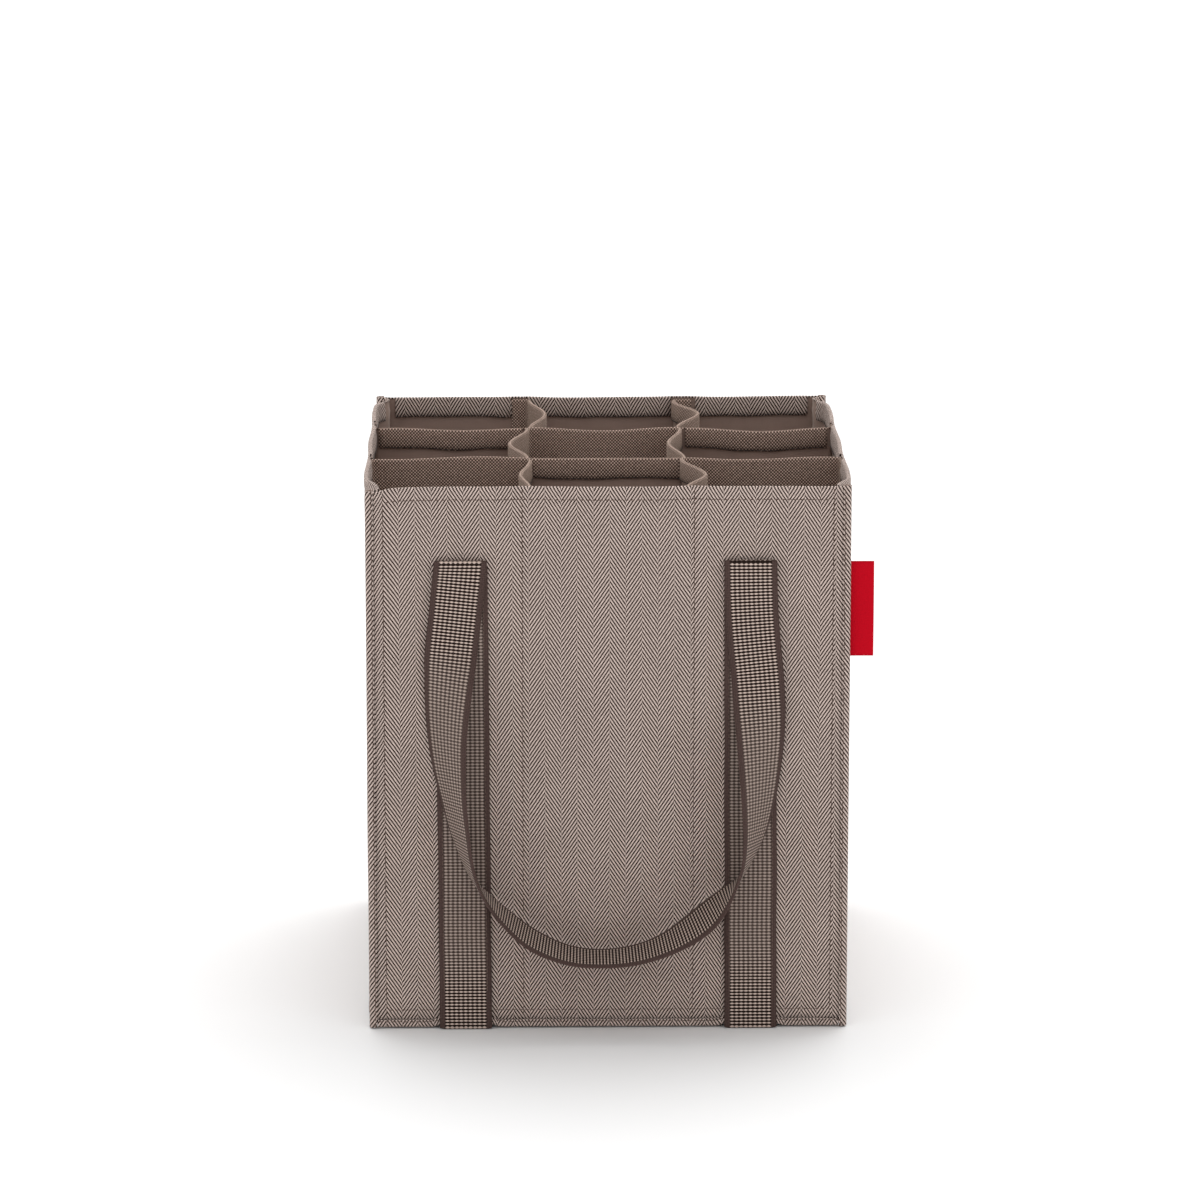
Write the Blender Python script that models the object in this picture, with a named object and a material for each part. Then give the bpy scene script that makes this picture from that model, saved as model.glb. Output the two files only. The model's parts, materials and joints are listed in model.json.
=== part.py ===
"""A bag that carries nine bottles, built from the pieces that it is cut and sewn from.

Four walls stand on plan curves round a flat base. Bound fin seams join them at the corners.
Inside, four corner dividers and a square sleeve make nine cells, three by three.
Two webbing straps run up the front, under the base and up the back.
Above its last row of stitches the webbing of each side folds over and hangs as a handle.

Lengths are in metres. +X is the bag's right, -Y its front and +Z is up.
The floor is Z = 0 and the origin is the middle of the base.
"""

import math

import bmesh
import bpy
from mathutils import Vector

# The whole bag
WIDTH = 0.240
DEPTH = 0.240
HEIGHT = 0.278
CLEARANCE = 0.0003

# Cloth
WALL_THICKNESS = 0.0012
DIVIDER_THICKNESS = 0.0010
HEM_HEIGHT = 0.010
HEM_SETBACK = 0.0003
BEND_RADIUS = 0.0025

# The bound fin seams at the corners and along the lower edges
FIN_WIDTH = 0.0075
BINDING_WIDTH = 0.004
BINDING_THICKNESS = 0.0006

# How the side walls leave their seams and swell between the dividers
SIDE_SWELL = 0.0068
SIDE_RISE = 0.018
SIDE_SCALLOP = 0.0008

# The dividers
DIVIDER_X = 0.039
DIVIDER_Y = 0.040
DIVIDER_FLANGE = 0.009
DIVIDER_BELOW_RIM = 0.001

# How far each stretch of divider sways out from the bag's middle, where the cloth hangs slack
SWAY_FRONT_LEFT = (0.005, 0.000)
SWAY_FRONT_RIGHT = (0.011, 0.005)
SWAY_REAR_LEFT = (-0.008, -0.004)
SWAY_REAR_RIGHT = (0.012, -0.009)
SLEEVE_SWAY = {"front": 0.000, "right": -0.007, "rear": -0.009, "left": 0.009}

# The base
BASE_FLANGE_HEIGHT = 0.005
HUMP_RAMP = 0.004
BOARD_THICKNESS = 0.002
BOARD_PLAY = 0.001

# The webbing and the handles
STRAP_WIDTH = 0.026
STRAP_THICKNESS = 0.0016
STRAP_INSET = 0.0485
JOG_LENGTH = 0.004
HINGE_BELOW_RIM = 0.0385
HANDLE_DROP = 0.1995
HANDLE_BOW = 0.0045
HANDLE_U_DEPTH = 0.090
TWIST_ENDS_ABOVE_BOTTOM = 0.036

# The woven label in the front right seam
TAG_REACH = 0.0115
TAG_HEIGHT = 0.048
TAG_THICKNESS = 0.0008
TAG_BELOW_RIM = 0.039
TAG_ROOT = 0.004

# How finely curves are divided
ARC_STEPS = 4
SWAY_STEPS = 12
SIDE_STEPS = 36
HANDLE_ARM_STEPS = 20
HANDLE_U_STEPS = 28
FOLD_SIDES = 16

# Heights and places that follow from the sizes above
WALL_BOTTOM = STRAP_THICKNESS + CLEARANCE
PANEL_BOTTOM = WALL_BOTTOM + BINDING_THICKNESS + CLEARANCE
BASE_TOP = WALL_BOTTOM + WALL_THICKNESS
BOARD_TOP = BASE_TOP + CLEARANCE + BOARD_THICKNESS
BINDING_TOP = WALL_BOTTOM + BINDING_WIDTH
DIVIDER_BOTTOM = max(BOARD_TOP, BASE_FLANGE_HEIGHT, BINDING_TOP) + CLEARANCE
DIVIDER_TOP = HEIGHT - DIVIDER_BELOW_RIM
FRONT_INSIDE = DEPTH / 2 - WALL_THICKNESS
SEAM_X = WIDTH / 2 - FIN_WIDTH
EDGE_X = WIDTH / 2 - BINDING_THICKNESS - CLEARANCE
STRAP_X = WIDTH / 2 - STRAP_INSET
HINGE_Z = HEIGHT - HINGE_BELOW_RIM
HINGE_Y = DEPTH / 2 + CLEARANCE + STRAP_THICKNESS + CLEARANCE / 2
FOLD_RADIUS = STRAP_THICKNESS + CLEARANCE / 2

MATERIALS = {
    "herringbone_cloth": ((0.290, 0.216, 0.170), 0.85),
    "divider_cloth": ((0.175, 0.122, 0.092), 0.85),
    "webbing": ((0.205, 0.150, 0.114), 0.70),
    "binding_tape": ((0.262, 0.195, 0.152), 0.85),
    "stiff_board": ((0.030, 0.028, 0.026), 0.60),
    "label_ribbon": ((0.578, 0.000, 0.017), 0.60),
}


def clear_scene():
    for thing in list(bpy.data.objects):
        bpy.data.objects.remove(thing, do_unlink=True)


def material(name):
    """The Principled material of that name, made the first time it is asked for."""
    made = bpy.data.materials.get(name)
    if made:
        return made
    colour, roughness = MATERIALS[name]
    made = bpy.data.materials.new(name)
    made.use_nodes = True
    shader = made.node_tree.nodes["Principled BSDF"]
    shader.inputs["Base Color"].default_value = (*colour, 1.0)
    shader.inputs["Roughness"].default_value = roughness
    shader.inputs["Metallic"].default_value = 0.0
    return made


def solid(name, bm, origin=(0, 0, 0)):
    """An object from a bmesh in world coordinates, with its own origin."""
    bmesh.ops.translate(bm, verts=bm.verts, vec=-Vector(origin))
    bmesh.ops.recalc_face_normals(bm, faces=bm.faces)
    if bm.calc_volume(signed=True) < 0:
        bmesh.ops.reverse_faces(bm, faces=bm.faces)
    mesh = bpy.data.meshes.new(name)
    bm.to_mesh(mesh)
    bm.free()
    made = bpy.data.objects.new(name, mesh)
    made.location = origin
    bpy.context.scene.collection.objects.link(made)
    bpy.context.view_layer.update()
    return made


def combine(target, tool, operation):
    """Joins, cuts or intersects the target with the tool, and removes the tool."""
    modifier = target.modifiers.new(operation, "BOOLEAN")
    modifier.operation = operation
    modifier.solver = "EXACT"
    modifier.object = tool
    view = bpy.context.evaluated_depsgraph_get()
    mesh = bpy.data.meshes.new_from_object(target.evaluated_get(view))
    target.modifiers.clear()
    target.data = mesh
    bpy.data.objects.remove(tool, do_unlink=True)


def finish(thing, material_name):
    """Gives a piece its material and smooth shading between its sharp edges."""
    thing.data.materials.clear()
    thing.data.materials.append(material(material_name))
    thing.data.shade_smooth()
    thing.data.set_sharp_from_angle(angle=math.radians(35))
    return thing


def smooth(t):
    """Rises from 0 to 1 with no slope at either end."""
    t = min(max(t, 0.0), 1.0)
    return t * t * (3 - 2 * t)


def left_of(direction):
    return Vector((-direction.y, direction.x))


def rounded_path(corners, radius, sways=None, closed=False, steps=SWAY_STEPS):
    """A plan path with its corners rounded off.

    sways maps the number of a straight run to a function of the distance along it, which gives
    how far the run leans to its left there.
    """
    corners = [Vector(corner) for corner in corners]
    count = len(corners)
    trims = [0.0] * count
    for i in range(0 if closed else 1, count if closed else count - 1):
        arriving = (corners[i] - corners[i - 1]).normalized()
        leaving = (corners[(i + 1) % count] - corners[i]).normalized()
        trims[i] = radius * math.tan(arriving.angle(leaving) / 2)
    points = []
    for i in range(count if closed else count - 1):
        j = (i + 1) % count
        along = (corners[j] - corners[i]).normalized()
        start = corners[i] + along * trims[i]
        end = corners[j] - along * trims[j]
        sway = (sways or {}).get(i)
        if sway:
            length = (end - start).length
            for k in range(steps + 1):
                t = k / steps
                points.append(start.lerp(end, t) + left_of(along) * sway(t * length, length))
        else:
            points += [start, end]
        if trims[j]:
            leaving = (corners[(j + 1) % count] - corners[j]).normalized()
            after = corners[j] + leaving * trims[j]
            turn = along.angle(leaving)
            side = 1 if along.cross(leaving) > 0 else -1
            centre = end + left_of(along) * radius * side
            for k in range(1, ARC_STEPS):
                angle = side * turn * k / ARC_STEPS
                spoke = end - centre
                turned = Vector((
                    spoke.x * math.cos(angle) - spoke.y * math.sin(angle),
                    spoke.x * math.sin(angle) + spoke.y * math.cos(angle),
                ))
                points.append(centre + turned)
            if closed and j == 0:
                points.append(after)
    if closed:
        points = points[:-1] if (points[0] - points[-1]).length < 1e-7 else points
    return points


def offset(points, distance, closed=False):
    """The path moved to its left by the distance."""
    moved = []
    count = len(points)
    for i, point in enumerate(points):
        before = points[i - 1] if closed or i > 0 else None
        after = points[(i + 1) % count] if closed or i < count - 1 else None
        sides = []
        if before is not None:
            sides.append(left_of((point - before).normalized()))
        if after is not None:
            sides.append(left_of((after - point).normalized()))
        mean = sum(sides, Vector((0, 0))).normalized()
        moved.append(point + mean * distance / mean.dot(sides[0]))
    return moved


def upright(a, b, c):
    return (a, b, c)


def band(path, near, far, low, high, closed=False, place=upright):
    """A closed solid along a path, from near to far on its left and from low to high.

    low may be a function of the point. place turns path coordinates into the bag's.
    """
    bm = bmesh.new()
    floor = low if callable(low) else (lambda point: low)
    rings = []
    for first, second in zip(offset(path, near, closed), offset(path, far, closed)):
        ring = [
            (first.x, first.y, floor(first)),
            (second.x, second.y, floor(second)),
            (second.x, second.y, high),
            (first.x, first.y, high),
        ]
        rings.append([bm.verts.new(place(*corner)) for corner in ring])
    pairs = list(zip(rings, rings[1:]))
    if closed:
        pairs.append((rings[-1], rings[0]))
    for one, two in pairs:
        for k in range(4):
            bm.faces.new((one[k], one[(k + 1) % 4], two[(k + 1) % 4], two[k]))
    if not closed:
        bm.faces.new(rings[0])
        bm.faces.new(rings[-1])
    return bm


def prism(outline, low, high):
    """A closed solid over a plan outline."""
    bm = bmesh.new()
    base = bm.faces.new([bm.verts.new((p.x, p.y, low)) for p in outline])
    top = bmesh.ops.extrude_face_region(bm, geom=[base])["geom"]
    risen = [g for g in top if isinstance(g, bmesh.types.BMVert)]
    bmesh.ops.translate(bm, verts=risen, vec=(0, 0, high - low))
    return bm


def turned(bm, flip_x, flip_y):
    """The same shape mirrored in the planes asked for."""
    for vert in bm.verts:
        vert.co.x *= -1 if flip_x else 1
        vert.co.y *= -1 if flip_y else 1
    return bm


def stretch(path, axis, first, last):
    """The part of the path that lies between two values of a coordinate."""
    kept = []
    for one, two in zip(path, path[1:]):
        limits = (first, last) if one[axis] < two[axis] else (last, first)
        crossings = [
            one.lerp(two, (limit - one[axis]) / (two[axis] - one[axis]))
            for limit in limits
            if (one[axis] - limit) * (two[axis] - limit) < 0
        ]
        kept += crossings
        if first < two[axis] < last:
            kept.append(two)
    return kept


def add_hems(thing, stretches, thickness, top, flip_x=False, flip_y=False, closed=False):
    """Folds the top edge over to the right of each stretch of the path."""
    for points in stretches:
        fold = band(
            points, -thickness, thickness / 2, top - HEM_HEIGHT, top - HEM_SETBACK, closed
        )
        combine(thing, solid("fold", turned(fold, flip_x, flip_y)), "UNION")


def side_wall_path():
    """The inner face of the left wall: fin, seam, swelling wall, seam and fin again."""

    def swell(distance, length):
        rise = smooth(min(distance, length - distance) / SIDE_RISE)
        scallop = math.sin(3 * math.pi * distance / length) ** 2
        return rise * (SIDE_SWELL + SIDE_SCALLOP * scallop)

    inside = FRONT_INSIDE - CLEARANCE
    corners = [(-EDGE_X, -inside), (-SEAM_X, -inside), (-SEAM_X, inside), (-EDGE_X, inside)]
    return rounded_path(corners, BEND_RADIUS, {1: swell}, steps=SIDE_STEPS)


def divider_edges():
    """Where a divider's flange lies along a wall, from its fold to past its end."""
    margin = CLEARANCE + DIVIDER_THICKNESS
    return {
        "x": (DIVIDER_X - margin, DIVIDER_X + DIVIDER_FLANGE + margin),
        "y": (DIVIDER_Y - margin, DIVIDER_Y + DIVIDER_FLANGE + margin),
    }


def front_or_rear_panel(name, rear):
    """A flat wall between the two corner fins, with its top edge folded in."""
    path = [Vector((EDGE_X, -FRONT_INSIDE)), Vector((-EDGE_X, -FRONT_INSIDE))]
    sheet = band(path, 0, WALL_THICKNESS, PANEL_BOTTOM, HEIGHT)
    wall = solid(name, turned(sheet, rear, rear))
    inner, outer = divider_edges()["x"]
    end = SEAM_X - BEND_RADIUS
    spans = [(-end, -outer), (-inner, inner), (outer, end)]
    hems = [[Vector((b, -FRONT_INSIDE)), Vector((a, -FRONT_INSIDE))] for a, b in spans]
    add_hems(wall, hems, WALL_THICKNESS, HEIGHT, rear, rear)
    return finish(wall, "herringbone_cloth")


def side_panel(name, right):
    """A side wall. Its ends turn out into the fins behind the front and rear panels."""
    path = side_wall_path()
    wall = solid(name, turned(band(path, 0, WALL_THICKNESS, WALL_BOTTOM, HEIGHT), right, False))
    inner, outer = divider_edges()["y"]
    end = FRONT_INSIDE - SIDE_RISE / 2
    spans = [(-end, -outer), (-inner, inner), (outer, end)]
    hems = [stretch(path, 1, a, b) for a, b in spans]
    add_hems(wall, hems, WALL_THICKNESS, HEIGHT, right, False)
    return finish(wall, "herringbone_cloth")


def hump_breaks():
    """The places across the bag where the base cloth starts and ends to climb over a strap."""
    half = STRAP_WIDTH / 2 + CLEARANCE
    places = []
    for middle in (-STRAP_X, STRAP_X):
        places += [middle - half - HUMP_RAMP, middle - half, middle + half]
        places.append(middle + half + HUMP_RAMP)
    return places


def hump_height(x):
    """How far the underside of the base cloth is off the floor."""
    from_strap = abs(abs(x) - STRAP_X) - STRAP_WIDTH / 2 - CLEARANCE
    return WALL_BOTTOM * min(max(1 - from_strap / HUMP_RAMP, 0.0), 1.0)


def base_edges(inset):
    """An outline of the base inside the walls: its front, right, rear and left edges."""
    front = FRONT_INSIDE - 2 * CLEARANCE - BINDING_THICKNESS - inset
    inside_left = offset(side_wall_path(), -CLEARANCE - inset)
    swell_starts = 1 + ARC_STEPS
    swell = inside_left[swell_starts:swell_starts + SIDE_STEPS + 1]
    left = [p for p in swell if abs(p.y) < front]
    corner = stretch(inside_left, 1, -front, front)[0].x
    breaks = [x for x in hump_breaks() if abs(x) < abs(corner)]
    front_edge = [Vector((x, -front)) for x in (corner, *breaks, -corner)]
    right = [Vector((-p.x, p.y)) for p in left]
    rear_edge = [Vector((-p.x, -p.y)) for p in front_edge]
    return front_edge, right, rear_edge, left[::-1]


def base_panel():
    """A shallow tray: flat on the floor and over the straps, its edge turned up in the walls."""
    front, right, rear, left = base_edges(0)
    outside = front + right + rear + left
    inside = sum(base_edges(WALL_THICKNESS), [])
    bm = bmesh.new()
    levels = [
        [bm.verts.new((p.x, p.y, hump_height(p.x))) for p in outside],
        [bm.verts.new((p.x, p.y, BASE_FLANGE_HEIGHT)) for p in outside],
        [bm.verts.new((p.x, p.y, BASE_FLANGE_HEIGHT)) for p in inside],
        [bm.verts.new((p.x, p.y, hump_height(p.x) + WALL_THICKNESS)) for p in inside],
    ]
    for low, high in zip(levels, levels[1:]):
        for k in range(len(outside)):
            following = (k + 1) % len(outside)
            bm.faces.new((low[k], low[following], high[following], high[k]))
    across = len(front)
    behind = across + len(right)
    for level in (levels[0], levels[-1]):
        near = level[:across]
        far = level[behind:behind + across][::-1]
        for i in range(1, across - 2):
            bm.faces.new((near[i], near[i + 1], far[i + 1], far[i]))
        bm.faces.new((*near[-2:], *level[across:behind], *far[-2:][::-1]))
        bm.faces.new((*far[:2][::-1], *level[behind + across:], *near[:2]))
    return finish(solid("base_panel", bm), "herringbone_cloth")


def base_board():
    """The stiff board that keeps the base flat. It lies loose in the tray."""
    outline = sum(base_edges(WALL_THICKNESS + BOARD_PLAY), [])
    board = solid("base_board", prism(outline, BOARD_TOP - BOARD_THICKNESS, BOARD_TOP))
    return finish(board, "stiff_board")


def binding_profile(layers, lowest):
    """A tape folded round an edge: (distance in from the edge, distance behind the face)."""
    front = -CLEARANCE
    back = layers + CLEARANCE
    tape = BINDING_THICKNESS
    return [
        (lowest, front - tape),
        (lowest + BINDING_WIDTH, front - tape),
        (lowest + BINDING_WIDTH, front),
        (lowest + tape, front),
        (lowest + tape, back),
        (lowest + BINDING_WIDTH, back),
        (lowest + BINDING_WIDTH, back + tape),
        (lowest, back + tape),
    ]


def extruded(profile, place, start, end):
    """A closed solid from a profile that runs between two distances."""
    bm = bmesh.new()
    ends = [[bm.verts.new(place(a, b, c)) for a, b in profile] for c in (start, end)]
    bm.faces.new(ends[0])
    bm.faces.new(ends[1])
    count = len(profile)
    for k in range(count):
        following = (k + 1) % count
        bm.faces.new((ends[0][k], ends[0][following], ends[1][following], ends[1][k]))
    return bm


def corner_binding(name, right, rear):
    """The tape round the fin of one corner, over the panel and the side wall's edge."""
    layers = 2 * WALL_THICKNESS + CLEARANCE
    profile = binding_profile(layers, 0.0)
    tape = extruded(
        profile, lambda a, b, c: (a - WIDTH / 2, b - DEPTH / 2, c), WALL_BOTTOM, HEIGHT
    )
    return finish(solid(name, turned(tape, right, rear)), "binding_tape")


def lower_binding(name, rear):
    """The tape round the lower edge of the front or the rear panel."""
    profile = binding_profile(WALL_THICKNESS, WALL_BOTTOM)
    end = SEAM_X - CLEARANCE
    tape = extruded(profile, lambda a, b, c: (c, b - DEPTH / 2, a), -end, end)
    return finish(solid(name, turned(tape, False, rear)), "binding_tape")


def sway_of(amount):
    """A sway that is greatest half way along and fades out at both ends."""
    return lambda distance, length: amount * math.sin(math.pi * distance / length) ** 2


def node_shift():
    """From a crossing to the corner of a divider whose rounded bend just clears it."""
    return (CLEARANCE / 2 + BEND_RADIUS) / math.sqrt(2) - BEND_RADIUS


def corner_divider(name, right, rear, sways):
    """One cloth round a corner cell: flange, wall, bend at the crossing, wall and flange."""
    front = FRONT_INSIDE - CLEARANCE
    shift = node_shift()
    node_x, node_y = DIVIDER_X + shift, DIVIDER_Y + shift
    level = min(side_wall_path(), key=lambda p: abs(p.y + DIVIDER_Y + DIVIDER_FLANGE / 2))
    side = abs(level.x) - CLEARANCE - SIDE_SCALLOP
    corners = [
        (-DIVIDER_X - DIVIDER_FLANGE, -front),
        (-node_x, -front),
        (-node_x, -node_y),
        (-side, -node_y),
        (-side, -DIVIDER_Y - DIVIDER_FLANGE),
    ]
    run = {1: sway_of(sways[0]), 2: sway_of(sways[1])}
    path = rounded_path(corners, BEND_RADIUS, run)
    sheet = band(path, 0, DIVIDER_THICKNESS, DIVIDER_BOTTOM, DIVIDER_TOP)
    cloth = solid(name, turned(sheet, right, rear))
    away = 3 * BEND_RADIUS
    steps = SWAY_STEPS + 1
    wall = path[2 + ARC_STEPS - 1:][:steps]
    cross = path[2 + 2 * (ARC_STEPS - 1) + steps:][:steps]
    hems = [
        stretch(wall, 1, -front + away, -node_y - away),
        stretch(cross, 0, -side + away, -node_x - away),
    ]
    add_hems(cloth, hems, DIVIDER_THICKNESS, DIVIDER_TOP, right, rear)
    return finish(cloth, "divider_cloth")


def centre_sleeve():
    """The square tube of cloth round the middle cell, sewn to the dividers at its corners."""
    shift = node_shift()
    x, y = DIVIDER_X - shift, DIVIDER_Y - shift
    corners = [(-x, -y), (x, -y), (x, y), (-x, y)]
    order = ("front", "right", "rear", "left")
    run = {i: sway_of(-SLEEVE_SWAY[side]) for i, side in enumerate(order)}
    path = rounded_path(corners, BEND_RADIUS, run, closed=True)
    sheet = band(path, 0, DIVIDER_THICKNESS, DIVIDER_BOTTOM, DIVIDER_TOP, closed=True)
    cloth = solid("centre_cell_sleeve", sheet)
    away = 3 * BEND_RADIUS
    steps = SWAY_STEPS + 1
    for i in range(4):
        first = i * (steps + ARC_STEPS - 1)
        wall = path[first:first + steps]
        axis, reach = (0, x - away) if i % 2 == 0 else (1, y - away)
        add_hems(cloth, [stretch(wall, axis, -reach, reach)], DIVIDER_THICKNESS, DIVIDER_TOP)
    return finish(cloth, "divider_cloth")


def carry_strap(name, middle):
    """Webbing sewn up the front, carried under the base and sewn up the back."""
    on_panel = DEPTH / 2 + CLEARANCE
    on_binding = on_panel + BINDING_THICKNESS + CLEARANCE
    jog_top = BINDING_TOP + 2 * JOG_LENGTH
    top = HINGE_Z - FOLD_RADIUS - CLEARANCE
    rear_half = [
        (on_binding, STRAP_THICKNESS),
        (on_binding, jog_top - JOG_LENGTH),
        (on_panel, jog_top),
        (on_panel, top),
    ]
    front_half = [(-y, z) for y, z in reversed(rear_half)]
    path = rounded_path(front_half + rear_half, CLEARANCE)
    half = STRAP_WIDTH / 2
    webbing = band(
        path,
        -STRAP_THICKNESS,
        0,
        middle - half,
        middle + half,
        place=lambda a, b, c: (c, a, b),
    )
    return finish(solid(name, webbing), "webbing")


def handle_stations():
    """Along a hanging handle: (depth below the hinge line, x, outward direction in front view)."""
    arm = HANDLE_DROP - HANDLE_U_DEPTH
    wide = STRAP_X + HANDLE_BOW
    front_view = []
    for k in range(HANDLE_ARM_STEPS):
        t = k / HANDLE_ARM_STEPS
        front_view.append(Vector((-STRAP_X - HANDLE_BOW * smooth(t), -arm * t)))
    for k in range(HANDLE_U_STEPS + 1):
        angle = math.pi * k / HANDLE_U_STEPS
        depth = arm + HANDLE_U_DEPTH * math.sin(angle)
        front_view.append(Vector((-wide * math.cos(angle), -depth)))
    right_arm = [Vector((-p.x, p.y)) for p in front_view[:HANDLE_ARM_STEPS]]
    return front_view + right_arm[::-1]


def handle(name, rear):
    """A loop of webbing: flat at both ends, a quarter turn in each arm, edge out below."""
    flat = HINGE_BELOW_RIM + CLEARANCE
    turned_by = HANDLE_DROP - TWIST_ENDS_ABOVE_BOTTOM
    route = handle_stations()
    bm = bmesh.new()
    rings = []
    for i, point in enumerate(route):
        ahead = route[min(i + 1, len(route) - 1)] - route[max(i - 1, 0)]
        if i in (0, len(route) - 1):
            ahead = Vector((0, -1 if i == 0 else 1))
        outward = -left_of(ahead.normalized())
        twist = math.pi / 2 * smooth((-point.y - flat) / (turned_by - flat))
        across = Vector((outward.x * math.cos(twist), math.sin(twist), outward.y * math.cos(twist)))
        through = Vector((outward.x * math.sin(twist), -math.cos(twist), outward.y * math.sin(twist)))
        reach = STRAP_WIDTH / 2 * math.sin(twist) + STRAP_THICKNESS / 2 * math.cos(twist)
        centre = Vector((point.x, -CLEARANCE / 2 - reach, point.y))
        ring = []
        for side, face in ((-1, -1), (1, -1), (1, 1), (-1, 1)):
            corner = across * side * STRAP_WIDTH / 2 + through * face * STRAP_THICKNESS / 2
            ring.append(bm.verts.new(centre + corner))
        rings.append(ring)
    for one, two in zip(rings, rings[1:]):
        for k in range(4):
            bm.faces.new((one[k], one[(k + 1) % 4], two[(k + 1) % 4], two[k]))
    bm.faces.new(rings[0])
    bm.faces.new(rings[-1])
    hinge = Vector((0, -HINGE_Y, HINGE_Z))
    bmesh.ops.translate(bm, verts=bm.verts, vec=hinge)
    origin = (0, HINGE_Y if rear else -HINGE_Y, HINGE_Z)
    loop = solid(name, turned(bm, rear, rear), origin)
    for middle in (-STRAP_X, STRAP_X):
        combine(loop, fold_roll(middle, rear), "UNION")
    return finish(loop, "webbing")


def fold_roll(middle, rear):
    """The round bend where the webbing folds over, along the hinge line."""
    ring = [
        (FOLD_RADIUS * math.cos(2 * math.pi * k / FOLD_SIDES + math.pi / FOLD_SIDES),
         FOLD_RADIUS * math.sin(2 * math.pi * k / FOLD_SIDES + math.pi / FOLD_SIDES))
        for k in range(FOLD_SIDES)
    ]
    half = STRAP_WIDTH / 2
    roll = extruded(
        ring, lambda a, b, c: (c, a - HINGE_Y, b + HINGE_Z), middle - half, middle + half
    )
    return solid("roll", turned(roll, False, rear))


def side_tag():
    """A folded ribbon label. Its root lies behind the bound fin and its end stands out."""
    layers = 2 * WALL_THICKNESS + CLEARANCE
    front = -DEPTH / 2 + layers + BINDING_THICKNESS + 2 * CLEARANCE
    top = HEIGHT - TAG_BELOW_RIM
    outline = [
        Vector((WIDTH / 2 - TAG_ROOT, front)),
        Vector((WIDTH / 2 + TAG_REACH, front)),
        Vector((WIDTH / 2 + TAG_REACH, front + TAG_THICKNESS)),
        Vector((WIDTH / 2 - TAG_ROOT, front + TAG_THICKNESS)),
    ]
    return finish(solid("side_tag", prism(outline, top - TAG_HEIGHT, top)), "label_ribbon")


def build():
    clear_scene()
    front_or_rear_panel("front_panel", rear=False)
    front_or_rear_panel("rear_panel", rear=True)
    side_panel("left_side_panel", right=False)
    side_panel("right_side_panel", right=True)
    base_panel()
    base_board()
    corner_divider("front_left_divider", False, False, SWAY_FRONT_LEFT)
    corner_divider("front_right_divider", True, False, SWAY_FRONT_RIGHT)
    corner_divider("rear_left_divider", False, True, SWAY_REAR_LEFT)
    corner_divider("rear_right_divider", True, True, SWAY_REAR_RIGHT)
    centre_sleeve()
    for place, rear in (("front", False), ("rear", True)):
        corner_binding(place + "_left_binding", False, rear)
        corner_binding(place + "_right_binding", True, rear)
        lower_binding(place + "_lower_binding", rear)
    carry_strap("left_carry_strap", -STRAP_X)
    carry_strap("right_carry_strap", STRAP_X)
    handle("front_handle", rear=False)
    handle("rear_handle", rear=True)
    side_tag()


build()
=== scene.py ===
"""The looks of the nine-cell bottle bag: its cloth, webbing, tapes, label and thread.

Every cloth is a single sheet laid on the plan that it is sewn to, folded over at its top for the
hem, and given its thickness last. All lengths are in metres, in the same frame as the solids.
"""

import json
import math

import bmesh
import bpy
from mathutils import Matrix, Vector, noise


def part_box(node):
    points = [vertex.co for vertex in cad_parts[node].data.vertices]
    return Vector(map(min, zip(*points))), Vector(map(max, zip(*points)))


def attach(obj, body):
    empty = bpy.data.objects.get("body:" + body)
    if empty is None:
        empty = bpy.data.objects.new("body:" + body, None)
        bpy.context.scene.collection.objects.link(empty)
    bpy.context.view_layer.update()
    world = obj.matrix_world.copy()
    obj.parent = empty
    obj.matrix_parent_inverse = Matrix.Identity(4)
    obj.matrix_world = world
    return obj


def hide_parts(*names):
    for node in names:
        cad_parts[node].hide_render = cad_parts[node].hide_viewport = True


bl_info = {
    "name": "Bottle Bag",
    "version": (1, 0, 0),
    "blender": (4, 5, 0),
    "location": "View3D > Sidebar > Bottle Bag",
    "description": "Sews the cloth, webbing, tapes, label and thread of a nine-cell bottle bag",
    "category": "Object",
}

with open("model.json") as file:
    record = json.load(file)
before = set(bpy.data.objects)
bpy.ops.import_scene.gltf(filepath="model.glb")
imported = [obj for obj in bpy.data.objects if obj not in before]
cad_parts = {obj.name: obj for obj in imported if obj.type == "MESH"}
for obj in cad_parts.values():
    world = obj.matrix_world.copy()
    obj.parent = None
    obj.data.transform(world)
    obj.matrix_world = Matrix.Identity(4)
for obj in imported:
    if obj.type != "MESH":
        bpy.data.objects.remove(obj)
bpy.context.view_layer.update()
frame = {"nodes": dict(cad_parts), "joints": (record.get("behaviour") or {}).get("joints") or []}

PANEL_LOW, PANEL_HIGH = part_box("front_panel")
SIDE_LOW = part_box("left_side_panel")[0]
DIVIDER_LOW, DIVIDER_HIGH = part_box("front_left_divider")
BINDING_LOW, BINDING_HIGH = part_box("front_left_binding")
STRAP_LOW, STRAP_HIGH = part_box("left_carry_strap")
TAG_LOW, TAG_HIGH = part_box("side_tag")
BASE_LOW, BASE_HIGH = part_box("base_panel")
BOARD_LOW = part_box("base_board")[0]

TOP = PANEL_HIGH.z
HALF_DEPTH = -PANEL_LOW.y
TAPE_WIDTH = BINDING_HIGH.x - BINDING_LOW.x
STRAP_X = -(STRAP_LOW.x + STRAP_HIGH.x) / 2
STRAP_WIDTH = STRAP_HIGH.x - STRAP_LOW.x
HINGE = Vector(frame["joints"][0]["pos_m"])

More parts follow.
